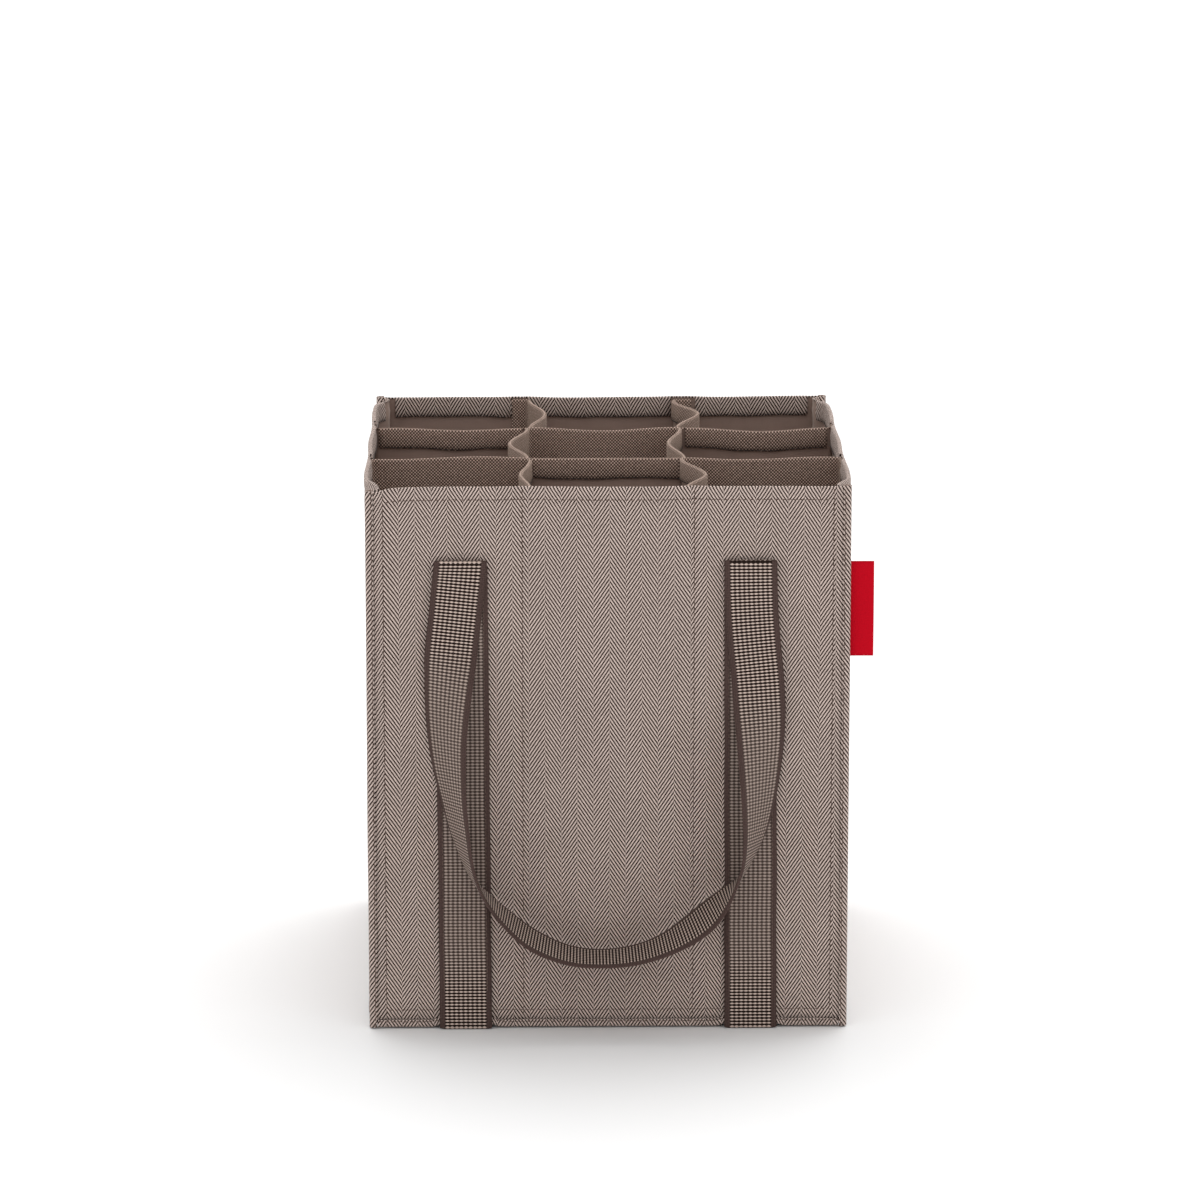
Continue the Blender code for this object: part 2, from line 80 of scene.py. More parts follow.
# The plan that the walls and the dividers are sewn to, as in the solids
GAP = 0.0003
WALL = 0.0012
DIVIDER = 0.0010
FIN = 0.0075
BEND = 0.0025
SEAM_X = 0.120 - FIN
EDGE_X = PANEL_HIGH.x
INSIDE = HALF_DEPTH - WALL
SWELL = 0.0068
SWELL_RISE = 0.018
SCALLOP = 0.0008
DIVIDER_X = 0.039
DIVIDER_Y = 0.040
FLANGE = 0.009
DIVIDER_SEAM = 0.0425
SWAYS = {
    (-1, -1): (0.005, 0.000),
    (1, -1): (0.011, 0.005),
    (-1, 1): (-0.008, -0.004),
    (1, 1): (0.012, -0.009),
}
SLEEVE_SWAYS = (0.000, -0.007, -0.009, 0.009)

# How the cloth is woven: threads across and along, how many make one limb of the herringbone,
# and where its peaks stand on the walls and on the corner tapes
END = 0.0004216
PICK = 0.000636
LIMB = 19
PEAK = 0.00064
TAPE_PEAK = -0.0015
DIVIDER_THREAD = 0.00083
WEBBING_END = 0.00231
WEBBING_PICK = 0.00166
SELVEDGE = 0.0026

# How far the tapes sink from their solids, down to the floor, and how uneven their edges run
SINK = 0.0012
TAPE_WOBBLE = 0.00025

# How far the edge of a hem stands open and runs uneven, and how far the hem ends from a
# divider's flange and from a bend
HEM_OPEN = 0.0002
HEM_UNEVEN = 0.0007
FLANGE_CLEAR = 0.0016
BEND_CLEAR = 0.0030

# The lowest stitches of the walls, up from their feet, and the round edges of the base cloth and
# of the webbing
FOOT_SEAM = 0.0067
SIDE_FOOT_SEAM = 0.0066
BASE_EDGE = 0.0028
WEBBING_EDGE = 0.00012


def length_of_cloth(name, description, default):
    return bpy.props.FloatProperty(
        name=name, description=description, default=default, min=0.0, unit="LENGTH", precision=5
    )


def dye(name, description, default):
    return bpy.props.FloatVectorProperty(
        name=name, description=description, default=default, size=3, min=0.0, max=1.0,
        subtype="COLOR",
    )


class BagSizes(bpy.types.PropertyGroup):
    """How thick, deep and slack the sewn pieces are"""

    cloth: length_of_cloth("Cloth", "Thickness of the outer cloth", 0.0009)
    divider_cloth: length_of_cloth("Divider cloth", "Thickness of the dividers' cloth", 0.0008)
    tape: length_of_cloth("Tape", "Thickness of the binding tape", 0.0006)
    hem: length_of_cloth("Hem", "How deep the hems are", 0.010)
    hem_seam: length_of_cloth("Hem seam", "From the rim down to the hem's stitches", 0.0066)
    rim_sag: length_of_cloth("Rim sag", "How far the rims hang down between seams", 0.0007)
    corner_droop: length_of_cloth("Corner droop", "How far the left front corner hangs", 0.0022)
    seam_dip: length_of_cloth("Seam dip", "How far a row of stitches pulls the cloth in", 0.0005)
    ripple: length_of_cloth("Ripple", "How uneven the cloth is between its seams", 0.00022)
    stitch: length_of_cloth("Stitch", "Length of one stitch with the gap after it", 0.0031)
    thread: length_of_cloth("Thread", "Thickness of the sewing thread", 0.0005)
    webbing: length_of_cloth("Webbing", "Thickness of the webbing", 0.0016)
    strap_lean: length_of_cloth("Strap lean", "How far the straps' tops lean to the left", 0.0012)


class BagColours(bpy.types.PropertyGroup):
    """The dyes of the yarns and of the ribbon. The hem thread and the webbing's gaps are darker
    still, as painted shadow.
    """

    light_yarn: dye("Light yarn", "The pale yarn of the herringbone", (0.70, 0.565, 0.505))
    dark_yarn: dye("Dark yarn", "The dark yarn of the herringbone", (0.020, 0.008, 0.004))
    divider_light: dye("Divider light", "The pale yarn of the dividers", (0.68, 0.51, 0.425))
    divider_dark: dye("Divider dark", "The dark yarn of the dividers", (0.080, 0.047, 0.035))
    backing: dye("Backing", "The smooth reverse of the cloth", (0.30, 0.212, 0.176))
    webbing_light: dye("Webbing light", "The pale ribs of the webbing", (0.62, 0.485, 0.42))
    # The gaps' dark colour is partly painted shadow between the ribs
    webbing_dark: dye("Webbing dark", "The gaps between the ribs", (0.012, 0.005, 0.003))
    selvedge: dye("Selvedge", "The dark edges of the webbing", (0.078, 0.048, 0.042))
    thread: dye("Thread", "The sewing thread", (0.125, 0.080, 0.064))
    # Darker than the sewing thread: real thread, whose dark colour is partly painted shadow along
    # the hems' lower edges
    hem_thread: dye("Hem thread", "The thread along the hems' edges", (0.030, 0.018, 0.014))
    ribbon: dye("Ribbon", "The ribbon of the label", (0.540, 0.0012, 0.012))
    board: dye("Board", "The stiff board in the base", (0.030, 0.028, 0.026))
    floor: dye("Floor", "The floor", (0.90, 0.90, 0.90))


def sizes():
    return bpy.context.scene.bottle_bag_sizes


def colours():
    return bpy.context.scene.bottle_bag_colours


# Plan curves


def smooth(t):
    """Rises from 0 to 1 with no slope at either end."""
    t = min(max(t, 0.0), 1.0)
    return t * t * (3 - 2 * t)


def left_of(direction):
    return Vector((-direction.y, direction.x))


def turned(vector, angle):
    cos, sin = math.cos(angle), math.sin(angle)
    return Vector((vector.x * cos - vector.y * sin, vector.x * sin + vector.y * cos))


def rounded(corners, sways=None, closed=False, steps=24, bend_steps=8):
    """A plan path with rounded corners. A sway says how far a run leans to its left."""
    corners = [Vector(corner) for corner in corners]
    count = len(corners)
    points = []
    for i in range(count if closed else count - 1):
        here, there = corners[i], corners[(i + 1) % count]
        along = (there - here).normalized()
        before = after = along
        if closed or i:
            before = (here - corners[i - 1]).normalized()
        if closed or i < count - 2:
            after = (corners[(i + 2) % count] - there).normalized()
        turn = along.angle(after, 0)
        start = here + along * BEND * math.tan(before.angle(along, 0) / 2)
        end = there - along * BEND * math.tan(turn / 2)
        length = (end - start).length
        sway = (sways or {}).get(i, lambda distance, whole: 0.0)
        for k in range(steps + 1):
            t = k / steps
            points.append(start.lerp(end, t) + left_of(along) * sway(t * length, length))
        if turn:
            side = 1 if along.cross(after) > 0 else -1
            centre = end + left_of(along) * BEND * side
            for k in range(1, bend_steps):
                points.append(centre + turned(end - centre, side * turn * k / bend_steps))
    return points


def moved_left(path, distance, closed=False):
    """The path moved to its left."""
    count = len(path)
    made = []
    for i, point in enumerate(path):
        before = path[i - 1] if closed or i else point
        after = path[(i + 1) % count] if closed or i < count - 1 else point
        one = (point - before).normalized() if point != before else (after - point).normalized()
        two = (after - point).normalized() if point != after else one
        mean = (left_of(one) + left_of(two)).normalized()
        made.append(point + mean * distance / max(mean.dot(left_of(one)), 0.5))
    return made


def run_of(path):
    """How far along the path each of its points lies."""
    run = [0.0]
    for one, two in zip(path, path[1:]):
        run.append(run[-1] + (two - one).length)
    return run


def point_at(path, run, distance):
    """The point of a path at a distance along it, and the direction to its right there."""
    k = 0
    while k < len(run) - 2 and run[k + 1] < distance:
        k += 1
    one, two = path[k], path[k + 1]
    t = (distance - run[k]) / max(run[k + 1] - run[k], 1e-9)
    return one.lerp(two, t), -left_of((two - one).normalized())


def sway_of(amount):
    return lambda distance, length: amount * math.sin(math.pi * distance / length) ** 2


def wall_swell(distance, length):
    rise = smooth(min(distance, length - distance) / SWELL_RISE)
    scallop = math.sin(3 * math.pi * distance / length) ** 2
    return rise * (SWELL + SCALLOP * scallop)


def side_plan(side):
    """The middle of a side wall's cloth from fin to fin, with the outside on its right.

    Its fins are straight, so they need only every ninth point.
    """
    steps = 72
    ends = steps - 6
    inside = INSIDE - GAP
    corners = [(-EDGE_X, -inside), (-SEAM_X, -inside), (-SEAM_X, inside), (-EDGE_X, inside)]
    path = moved_left(rounded(corners, {1: wall_swell}, steps=steps), WALL - sizes().cloth / 2)
    wall = range(ends, len(path) - ends)
    path = [point for i, point in enumerate(path) if i in wall or i % 9 == 0]
    if side < 0:
        return path[::-1]
    return [Vector((-point.x, point.y)) for point in path]


def crossing_shift():
    return (GAP / 2 + BEND) / math.sqrt(2) - BEND


def divider_plan(side_x, side_y, slack):
    """The middle of a corner divider's cloth, with the corner cell on its right."""
    front = INSIDE - GAP
    node_x = DIVIDER_X + crossing_shift()
    node_y = DIVIDER_Y + crossing_shift()
    wall = SEAM_X + SWELL
    corners = [
        (-DIVIDER_X - FLANGE, -front),
        (-node_x, -front),
        (-node_x, -node_y),
        (-wall, -node_y),
        (-wall, -DIVIDER_Y - FLANGE),
    ]
    first, second = SWAYS[(side_x, side_y)]
    runs = {1: sway_of(first * slack), 2: sway_of(second * slack)}
    path = moved_left(rounded(corners, runs), DIVIDER / 2)
    path = [Vector((-side_x * p.x, -side_y * p.y)) for p in path]
    return path[::-1] if side_x * side_y > 0 else path


def sleeve_plan(slack):
    """The middle of the centre sleeve's cloth, with the centre cell on its right."""
    x, y = DIVIDER_X - crossing_shift(), DIVIDER_Y - crossing_shift()
    corners = [(-x, -y), (x, -y), (x, y), (-x, y)]
    runs = {i: sway_of(-amount * slack) for i, amount in enumerate(SLEEVE_SWAYS)}
    path = moved_left(rounded(corners, runs, closed=True), DIVIDER / 2, closed=True)
    path = path[::-1]
    return path + path[:1]


# Mesh making


def placed(name, data, location=(0.0, 0.0, 0.0), turns=(0.0, 0.0, 0.0)):
    """A new object of the scene, turned by so many degrees round each axis."""
    made = bpy.data.objects.new(name, data)
    made.location = location
    made.rotation_euler = [math.radians(turn) for turn in turns]
    bpy.context.scene.collection.objects.link(made)
    return made


def new_piece(name, bm, finishes, body="bag", nodes=()):
    """A finished piece at the origin that rides on a body and stands for its solids."""
    mesh = bpy.data.meshes.new(name)
    bm.to_mesh(mesh)
    bm.free()
    for finish in finishes:
        mesh.materials.append(finish_named(finish))
    mesh.shade_smooth()
    piece = placed(name, mesh)
    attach(piece, body)
    if nodes:
        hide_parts(*nodes)
    return piece


def new_cloth(name, bm, finishes, thickness, node_name):
    """A piece made of a sheet that is given its thickness, its reverse in the last finish."""
    piece = new_piece(name, bm, finishes, nodes=[node_name])
    shell = piece.modifiers.new("thickness", "SOLIDIFY")
    shell.thickness = thickness
    shell.offset = 0.0
    shell.use_even_offset = True
    shell.use_rim = True
    shell.material_offset = len(finishes) - 1
    shell.material_offset_rim = 0
    return piece


def laid_cloth(columns, rows, lay, measure, mark="tucked", amount=None):
    """A grid of cloth. lay(i, j) is where crossing i, j goes and measure(i, j) its weave.

    The cloth carries a mark for its finish, of which row j has the given amount.
    """
    bm = bmesh.new()
    weave = bm.loops.layers.uv.new("weave")
    marked = bm.verts.layers.float.new(mark)
    bmesh.ops.create_grid(bm, x_segments=columns, y_segments=rows, size=0.5)
    spots = {}
    for vert in bm.verts:
        spots[vert] = (round((vert.co.x + 0.5) * columns), round((vert.co.y + 0.5) * rows))
    for face in bm.faces:
        for loop in face.loops:
            loop[weave].uv = measure(*spots[loop.vert])
    for vert in bm.verts:
        vert.co = lay(*spots[vert])
        vert[marked] = amount(spots[vert][1]) if amount else 0.0
    return bm, spots


def spaced(length, seams, wide=0.004, narrow=0.001, reach=0.004):
    """Distances along a cloth: close together by its seams and wide apart elsewhere."""
    marks = [0.0]
    while marks[-1] < length:
        near = min((abs(marks[-1] - seam) for seam in seams), default=1.0)
        marks.append(marks[-1] + (narrow if near < reach + narrow else wide))
    marks[-1] = length
    if length - marks[-2] < narrow / 2:
        marks.pop(-2)
    return marks


def evenly(start, end, steps):
    """Evenly spaced numbers from start to end."""
    return [start + (end - start) * k / steps for k in range(steps + 1)]


def dip_near(distance, seams, width=0.0016):
    """How strongly the nearest of the seams pulls at a point, from 0 to 1."""
    near = min((abs(distance - seam) for seam in seams), default=1.0)
    return math.exp(-((near / width) ** 2))


def drooped(point):
    """The point, let down a little where it lies near the rim of the left front corner."""
    corner = smooth((-point.x - 0.104) / 0.014) * smooth((-point.y - 0.106) / 0.012)
    down = sizes().corner_droop * corner * smooth(point.z / TOP)
    return Vector((point.x, point.y, point.z - down))


def unevenness(name, distance, height):
    """A slow, smooth wave that is different for each piece, from about -1 to 1."""
    seed = sum(ord(letter) for letter in name) % 97
    return noise.noise(Vector((distance * 22 + seed, height * 14, seed * 0.37))) * 1.6


def hemmed_cloth(name, plan, low, top, solid, thickness, spans, seams, level_seams, waves, sag):
    """An upright cloth with its top folded over to its reverse, and its hem in the spans.

    plan(z) is the path of its middle at a height, with the same count of points at each, and the
    outside of the cloth on its right. waves(distance, z) moves it to its left, and sag(distance)
    says how far its rim hangs down. solid is how thick its solid is. Gives the cloth, its whole
    length, the thread along its hem, and place, which finds a spot on the cloth as it hangs and
    the way that it faces.
    """
    radius = (solid + thickness) / 3
    crest = top - radius - thickness / 2
    hem = sizes().hem - radius - thickness / 2
    levels = [(low + z, 0.0) for z in spaced(crest - low, [z - low for z in level_seams], 0.006)]
    first_fold = len(levels)
    fold_steps, hem_steps = 6, 4
    for k in range(1, fold_steps + 1):
        angle = math.pi * k / fold_steps
        levels.append((crest + radius * math.sin(angle), radius * (1 - math.cos(angle))))
    for k in range(1, hem_steps + 1):
        levels.append((crest - hem * k / hem_steps, 2 * radius))
    paths = [plan(z) for z, _ in levels]
    runs = [run_of(path) for path in paths]
    whole = runs[first_fold][-1]
    marks = spaced(whole, seams)
    half = whole / 2

    def open_by(distance):
        return HEM_OPEN * (1 + unevenness(name + "hem", distance * 3, 0.0))

    def uneven_by(distance):
        return HEM_UNEVEN * (1 + unevenness(name + "edge", distance * 3, 0.0))

    # How far down the hem a row lies, 0 to 1. It opens the hem's edge and makes it uneven, and the
    # finishes paint shade by it.
    def tucked(j):
        return max(j - first_fold - fold_steps, 0) / hem_steps

    def place(path, run, distance, z, inwards, below=0.0):
        point, right = point_at(path, run, (distance + half) / whole * run[-1])
        moved = point - right * (inwards + waves(distance, z))
        down = sag(distance) * smooth((z - low) / (top - low)) + below
        return drooped(Vector((moved.x, moved.y, z - down))), right.to_3d()

    def lay(i, j):
        z, inwards = levels[j]
        distance = marks[i] - half
        loose = tucked(j)
        if loose:
            inwards += open_by(distance) * loose
            z -= uneven_by(distance) * loose
        return place(paths[j], runs[j], distance, z, inwards)[0]

    heights = run_of([Vector(level) for level in levels])

    def measure(i, j):
        return marks[i] - half, low + heights[j]

    bm, spots = laid_cloth(len(marks) - 1, len(levels) - 1, lay, measure, "tucked", tucked)
    bare = []
    for face in bm.faces:
        columns = [spots[vert][0] for vert in face.verts]
        rows = [spots[vert][1] for vert in face.verts]
        middle = (marks[min(columns)] + marks[max(columns)]) / 2 - half
        folded = min(rows) >= first_fold + fold_steps // 2 - 1
        if folded and not any(a < middle < b for a, b in spans):
            bare.append(face)
    bmesh.ops.delete(bm, geom=bare, context="FACES")

    # Real stitches just above the hem's lower edge, whose dark thread also paints the shadow under
    # that edge
    thread = bmesh.new()
    z = crest - hem + 0.0006
    path = plan(z)
    run = run_of(path)
    for start, end in spans:
        line = []
        for distance in evenly(max(start, -half) + 0.0012, min(end, half) - 0.0012, 40):
            inwards = 2 * radius + thickness / 2 + 0.0001 + open_by(distance)
            spot, right = place(path, run, distance, z, inwards, uneven_by(distance))
            line.append((spot, -right))
        add_stitches(thread, stitches_along(line))
    return bm, whole, new_piece(name + "_hem_thread", thread, ["hem thread"]), place


# Materials


class Value:
    """What a node gives, which can be reckoned with like a number."""

    def __init__(self, socket):
        self.socket = socket

    def __add__(self, other):
        return maths("ADD", self, other)

    def __sub__(self, other):
        return maths("SUBTRACT", self, other)

    def __rsub__(self, other):
        return maths("SUBTRACT", other, self)

    def __mul__(self, other):
        return maths("MULTIPLY", self, other)

    def __truediv__(self, other):
        return maths("DIVIDE", self, other)

    def __abs__(self):
        return maths("ABSOLUTE", self)


def node(tree, kind, values=None, output=0, **settings):
    """A new node with its settings and its inputs, which are linked where they are Values."""
    made = tree.nodes.new(kind)
    for key, value in settings.items():
        setattr(made, key, value)
    for key, value in (values or {}).items():
        if isinstance(value, Value):
            tree.links.new(value.socket, made.inputs[key])
        else:
            made.inputs[key].default_value = value
    return Value(made.outputs[output])


def tree_of(*values):
    return next(value.socket.id_data for value in values if isinstance(value, Value))


def maths(operation, *values):
    return node(tree_of(*values), "ShaderNodeMath", dict(enumerate(values)), operation=operation)


def between(share, one, two):
    """A number between two."""
    return node(tree_of(share), "ShaderNodeMix", {0: share, 2: one, 3: two}, data_type="FLOAT")


def mixed(share, one, two):
    """A colour between two, each a Value or three numbers."""
    ends = [end if isinstance(end, Value) else (*end, 1.0) for end in (one, two)]
    values = {0: share, 6: ends[0], 7: ends[1]}
    return node(tree_of(share), "ShaderNodeMix", values, output=2, data_type="RGBA")


def shaded(colour, shade):
    values = {0: colour, "Scale": shade}
    return node(tree_of(shade), "ShaderNodeVectorMath", values, operation="SCALE")


def ramp(value, low, high):
    """0 below low, 1 above high and smooth between."""
    values = {"Value": value, "From Min": low, "From Max": high}
    return node(tree_of(value), "ShaderNodeMapRange", values, interpolation_type="SMOOTHSTEP")


def fabric(name, roughness, sheen=0.0, tint=(1.0, 1.0, 1.0), specular=0.25):
    """The node tree of a new material for cloth."""
    material = bpy.data.materials.new(name)
    material.use_nodes = True
    inputs = material.node_tree.nodes["Principled BSDF"].inputs
    inputs["Roughness"].default_value = roughness
    inputs["Specular IOR Level"].default_value = specular
    inputs["Sheen Weight"].default_value = sheen
    inputs["Sheen Roughness"].default_value = 0.45
    inputs["Sheen Tint"].default_value = (*tint, 1.0)
    return material.node_tree


def finish_fabric(tree, colour, shade, height, depth, strength=0.5):
    """Gives the cloth its colour in light and shade, and its relief."""
    inputs = tree.nodes["Principled BSDF"].inputs
    relief = {"Height": height, "Distance": depth, "Strength": strength}
    tree.links.new(shaded(colour, shade).socket, inputs["Base Color"])
    tree.links.new(node(tree, "ShaderNodeBump", relief).socket, inputs["Normal"])


def weave_coordinates(tree):
    """Across and along the cloth, in metres."""
    split = tree.nodes.new("ShaderNodeSeparateXYZ")
    tree.links.new(node(tree, "ShaderNodeUVMap", uv_map="weave").socket, split.inputs[0])
    return Value(split.outputs[0]), Value(split.outputs[1])


def marked_on(tree, mark):
    """The amount of a mark that the cloth carries."""
    return node(tree, "ShaderNodeAttribute", output=2, attribute_name=mark)


def painted_hem_shade(tree, depth):
    """Painted shade: 1 on open cloth, less towards the lower edge of a hem, and least along that
    edge, where it paints a shadow line.
    """
    tucked = marked_on(tree, "tucked")
    return tucked * -depth + ramp(tucked, 0.80, 0.97) * -0.35 + 1.0


def speckle(across, along, scale_across, scale_along, detail=2.0):
    """Noise from 0 to 1 with its own scale across and along the cloth."""
    tree = tree_of(across)
    place = node(tree, "ShaderNodeCombineXYZ", {0: across * scale_across, 1: along * scale_along})
    values = {"Vector": place, "Scale": 1.0, "Detail": detail, "Roughness": 0.6}
    return node(tree, "ShaderNodeTexNoise", values, noise_dimensions="2D")


def waviness(value, period):
    """A thread's rounded back: 0 at its sides and 1 along its middle."""
    return abs(maths("SINE", value * (math.pi / period)))


def herringbone(name, light, dark, peak):
    """Two-and-two twill whose slant breaks off and turns back after every limb."""
    tree = fabric(name, 0.88, 0.15, (1.0, 0.85, 0.75))
    across, along = weave_coordinates(tree)
    across = across - peak
    end = maths("FLOOR", across / END) + 0.5
    limb = maths("FLOOR", end / LIMB)
    step = maths("PINGPONG", end, LIMB) + maths("PINGPONG", limb, 1.0) * 2.0
    phase = maths("FRACT", (maths("FLOOR", along / PICK) + step) / 4.0)
    warp_up = ramp(abs(phase - 0.5), 0.20, 0.30)
    back = between(warp_up, waviness(along, PICK), waviness(across, END))
    slub = speckle(across, along, 1500.0, 420.0) * 0.7 + 0.65
    patch = speckle(across, along, 45.0, 45.0, 3.0) * 0.16 + 0.92
    # Painted shade: each thread darker at its sides than along its rounded back, and the hems
    # darkened as painted shade
    shade = slub * patch * (back * 0.35 + 0.70) * painted_hem_shade(tree, 0.25)
    height = warp_up * 0.6 + back
    finish_fabric(tree, mixed(warp_up, dark, light), shade, height, 0.00012)


def plain_weave(name, light, dark):
    """One-and-one weave of thick threads, pale where a warp thread lies on top."""
    tree = fabric(name, 0.85, 0.18, (1.0, 0.80, 0.62), 0.15)
    across, along = weave_coordinates(tree)
    turn = math.pi / DIVIDER_THREAD
    product = maths("SINE", across * turn) * maths("SINE", along * turn)
    slub = speckle(across, along, 700.0, 500.0) * 0.8 + 0.6
    colour = mixed(ramp(product, -0.15, 0.62), dark, light)
    # Painted shade on the hems, darkest along their lower edges
    finish_fabric(tree, colour, slub * painted_hem_shade(tree, 0.45), abs(product), 0.0002, 0.6)


def coated_reverse(name, colour):
    """The reverse of the cloth: a smooth coat through which the weave only just shows."""
    tree = fabric(name, 0.55, 0.35, (1.0, 0.86, 0.76))
    across, along = weave_coordinates(tree)
    height = waviness(across, DIVIDER_THREAD) * waviness(along, DIVIDER_THREAD)
    # Painted light: a little lighter on the crowns of the threads under the coat
    shade = speckle(across, along, 90.0, 60.0, 4.0) * 0.24 + 0.86 + height * 0.05
    finish_fabric(tree, colour, shade, height, 0.00006, 0.35)


def webbing_weave(name, light, dark, edge):
    """Ribbed webbing: pale crossbars over dark gaps, and plain dark selvedges.

    Its dark gaps are partly painted shadow. Where it is marked as closed, painted light and shade
    even out its ribs and gaps.
    """
    tree = fabric(name, 0.72, 0.05, (1.0, 0.86, 0.76), 0.12)
    across, along = weave_coordinates(tree)
    bars = maths("SINE", along * (2 * math.pi / WEBBING_PICK))
    columns = maths("COSINE", across * (2 * math.pi / WEBBING_END))
    open_weave = ramp(bars + columns * 0.55, -0.17, 0.95)
    # Painted light and shade: an even, dull level with faint columns, for where the weave is marked
    # as closed
    painted_even_weave = columns * 0.12 + 0.26
    raised = between(marked_on(tree, "closed") * 0.58, open_weave, painted_even_weave)
    plies = waviness(along, WEBBING_PICK / 4)
    # Painted shade: darker between the plies of the ribs
    shade = speckle(across, along, 900.0, 2600.0) + 0.36 + plies * 0.28
    cords = waviness(along, WEBBING_PICK / 2) * waviness(across, 0.0009)
    # Painted shade: the selvedges darker between their cords
    rim = shaded(edge, cords * 0.5 + 0.75)
    inside = ramp(STRAP_WIDTH / 2 - abs(across), SELVEDGE - 0.0003, SELVEDGE + 0.0003)
    colour = mixed(inside, rim, mixed(raised, dark, light))
    height = between(inside, cords, raised + plies * 0.2)
    finish_fabric(tree, colour, shade, height, 0.0004, 0.7)


def sewing_thread(name, colour):
    """Twisted thread: fine slanting plies on Object coordinates."""
    tree = fabric(name, 0.6, 0.2)
    place = node(tree, "ShaderNodeTexCoord", output=3)
    values = {"Vector": place, "Scale": 900.0, "Distortion": 1.5}
    settings = {"wave_type": "BANDS", "bands_direction": "DIAGONAL"}
    plies = node(tree, "ShaderNodeTexWave", values, output=1, **settings)
    # Painted shade: darker between the plies
    finish_fabric(tree, colour, plies * 0.6 + 0.7, plies, 0.00008)


def woven_ribbon(name, colour):
    """Satin ribbon with close ribs across."""
    tree = fabric(name, 0.7, specular=0.06)
    across, along = weave_coordinates(tree)
    height = waviness(along, 0.00042) * 0.7 + waviness(across, 0.00030) * 0.3
    # Painted shade: darker in the grooves between the ribs
    shade = height * 0.16 + 0.82 + speckle(across, along, 300.0, 1800.0) * 0.12
    finish_fabric(tree, colour, shade, height, 0.00008)


def stiff_sheet(name, colour):
    """Pressed board with a leathery grain."""
    tree = fabric(name, 0.6)
    place = node(tree, "ShaderNodeTexCoord", output=3)
    values = {"Vector": place, "Scale": 900.0}
    grain = node(tree, "ShaderNodeTexVoronoi", values, feature="SMOOTH_F1")
    patch = node(tree, "ShaderNodeTexNoise", {"Vector": place, "Scale": 60.0, "Detail": 4.0})
    finish_fabric(tree, colour, patch * 0.5 + 0.75, grain, 0.0002, 0.4)


def finish_named(name):
    """The material of that name, made the first time it is asked for."""
    dyes = colours()
    makers = {
        "herringbone": (herringbone, dyes.light_yarn, dyes.dark_yarn, PEAK),
        "binding herringbone": (herringbone, dyes.light_yarn, dyes.dark_yarn, TAPE_PEAK),
        "divider weave": (plain_weave, dyes.divider_light, dyes.divider_dark),
        "coated reverse": (coated_reverse, dyes.backing),
        "ribbed webbing": (webbing_weave, dyes.webbing_light, dyes.webbing_dark, dyes.selvedge),
        "sewing thread": (sewing_thread, dyes.thread),
        "hem thread": (sewing_thread, dyes.hem_thread),
        "label ribbon": (woven_ribbon, dyes.ribbon),
        "base board": (stiff_sheet, dyes.board),
    }
    if name not in bpy.data.materials:
        make, *values = makers[name]
        make(name, *values)
    return bpy.data.materials[name]


# Thread


def put_in_order(items, place):
    """Sorts a mesh's items by where they lie, since a sphere's come in another order each run."""
    for index, item in enumerate(sorted(items, key=lambda item: place(item).to_tuple(4))):
        item.index = index
    items.sort()


def stitch_shape():
    """One stitch, 2 long and 2 thick, that lies along Z and bows up to Y."""
    found = bpy.data.meshes.get("stitch")
    if found:
        return found
    bm = bmesh.new()
    bmesh.ops.create_uvsphere(bm, u_segments=6, v_segments=4, radius=1.0)
    for vert in bm.verts:
        vert.co.y = vert.co.y * 0.7 + 0.5 * (1 - vert.co.z**2)
    put_in_order(bm.verts, lambda vert: vert.co)
    put_in_order(bm.edges, lambda edge: edge.verts[0].co + edge.verts[1].co)
    put_in_order(bm.faces, lambda face: face.calc_center_median())
    found = bpy.data.meshes.new("stitch")
    bm.to_mesh(found)
    bm.free()
    return found


def add_stitches(bm, spots):
    """One short thread over the cloth at each spot: (middle, along, outwards)."""
    radius = sizes().thread / 2
    reach = sizes().stitch * 0.44
    for middle, along, outwards in spots:
        side = outwards.cross(along).normalized()
        up = along.cross(side).normalized()
        turn = Matrix((side * radius, up * radius, along * reach)).transposed().to_4x4()
        turn.translation = middle
        one = stitch_shape().copy()
        one.transform(turn)
        bm.from_mesh(one)
        bpy.data.meshes.remove(one)


def stitches_along(line):
    """Spots for stitches along a line of points, each with the way that its cloth faces."""
    pitch = sizes().stitch
    spots = []
    travelled = pitch / 2
    for (one, outwards), (two, _) in zip(line, line[1:]):
        length = (two - one).length
        along = (two - one).normalized()
        while travelled < length:
            spots.append((one + along * travelled, along, outwards))
            travelled += pitch
        travelled -= length
    return spots


# Operators


